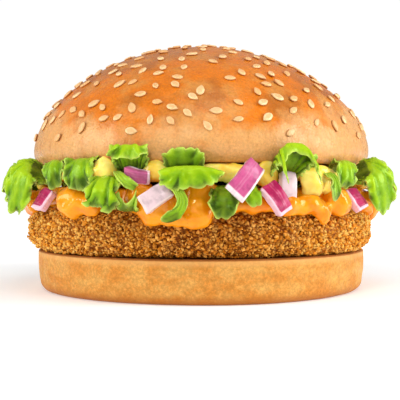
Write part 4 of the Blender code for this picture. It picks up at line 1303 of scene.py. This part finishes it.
def add_softbox(name, angle, distance, height, width, tall, power):
    """A square of soft light that looks at the middle of the burger."""
    light = bpy.data.lights.new(name, "AREA")
    light.shape = "RECTANGLE"
    light.size = width * MM
    light.size_y = tall * MM
    light.energy = power
    lamp = bpy.data.objects.new(name, light)
    bpy.context.scene.collection.objects.link(lamp)
    lamp.location = place(math.radians(angle), distance, height) * MM
    target = Vector((0, 0, LIT_HEIGHT)) * MM
    lamp.rotation_euler = (target - lamp.location).to_track_quat("-Z", "Y").to_euler()
    return lamp


def build_world():
    """White all round, dimmer as a light than it looks, so that the side lights still shape the burger."""
    world = bpy.data.worlds.new("studio")
    bpy.context.scene.world = world
    world.use_nodes = True
    tree = world.node_tree
    seen = add_node(tree, "LightPath", {}).outputs["Is Camera Ray"]
    level = add_range(tree, seen, 0, 1, WORLD_LIGHT, WORLD_SEEN)
    set_inputs(tree, tree.nodes["Background"], {"Color": (1, 1, 1), "Strength": level})


def build_studio():
    build_world()
    for softbox in SOFTBOXES:
        add_softbox(*softbox)
    bpy.context.scene.view_settings.view_transform = "Standard"


def build_camera():
    data = bpy.data.cameras.new("camera")
    data.lens = CAMERA_LENS
    camera = bpy.data.objects.new("camera", data)
    bpy.context.scene.collection.objects.link(camera)
    camera.location = Vector((0, -CAMERA_DISTANCE, CAMERA_HEIGHT)) * MM
    camera.rotation_euler = (math.radians(90 - CAMERA_PITCH), 0, 0)
    bpy.context.scene.camera = camera


def build_fillings():
    green = lettuce_material()
    for leaf in (*side_leaves(-1, "left"), *FRONT_LEAVES, *side_leaves(1, "right"), *back_leaves()):
        build_leaf(leaf, green)
    build_bed(green)

    magenta = onion_material("onion_magenta", (0.46, 0.012, 0.095), (0.86, 0.56, 0.64))
    pink = onion_material("onion_pink", (0.56, 0.09, 0.24), (0.88, 0.72, 0.72))
    mauve = onion_material("onion_mauve", (0.58, 0.12, 0.28), (0.88, 0.66, 0.74))
    white = onion_material("onion_white", (0.74, 0.56, 0.58), (0.80, 0.64, 0.61))
    kinds = {"onion_small": mauve, "onion_pale": white, "onion_hooded": white, "onion_long": pink}
    for i, onion in enumerate(all_onions()):
        usual = pink if "back" in onion.name and i % 2 else magenta
        build_onion(onion, kinds.get(onion.name, usual))


def build_layers():
    cheese_blobs = [*CHEESE_BLOBS, *back_blobs(8, 49.8, 34.2, 3.3)]
    yellow = melted_material("cheese", (1.0, 0.80, 0.18), (1.0, 0.66, 0.08), 0.16, 0.0, 0.4)
    cheese_size = (CHEESE_BASE, CHEESE_TOP, CHEESE_RADIUS)
    build_soft_layer("melted_cheese", "cheese", "cheese", *cheese_size, cheese_blobs, yellow)

    sauce_blobs = [*SAUCE_BLOBS, *back_blobs(2, 52.0, 26.8, 4.0)]
    orange = melted_material("sauce", (0.95, 0.34, 0.006), (0.84, 0.225, 0.003), 0.12, 0.4, 0.15)
    sauce_size = (SAUCE_BASE, SAUCE_TOP, SAUCE_RADIUS)
    build_soft_layer("orange_sauce", "sauce", "sauce", *sauce_size, sauce_blobs, orange)


def build_burger():
    build_heel(heel_material())
    breading = breading_material()
    build_patty(breading)
    build_crumbs(breading)
    build_layers()
    build_fillings()
    build_crown(crust_material())
    build_seeds(seed_material())


build_burger()
build_floor()
build_studio()
build_camera()
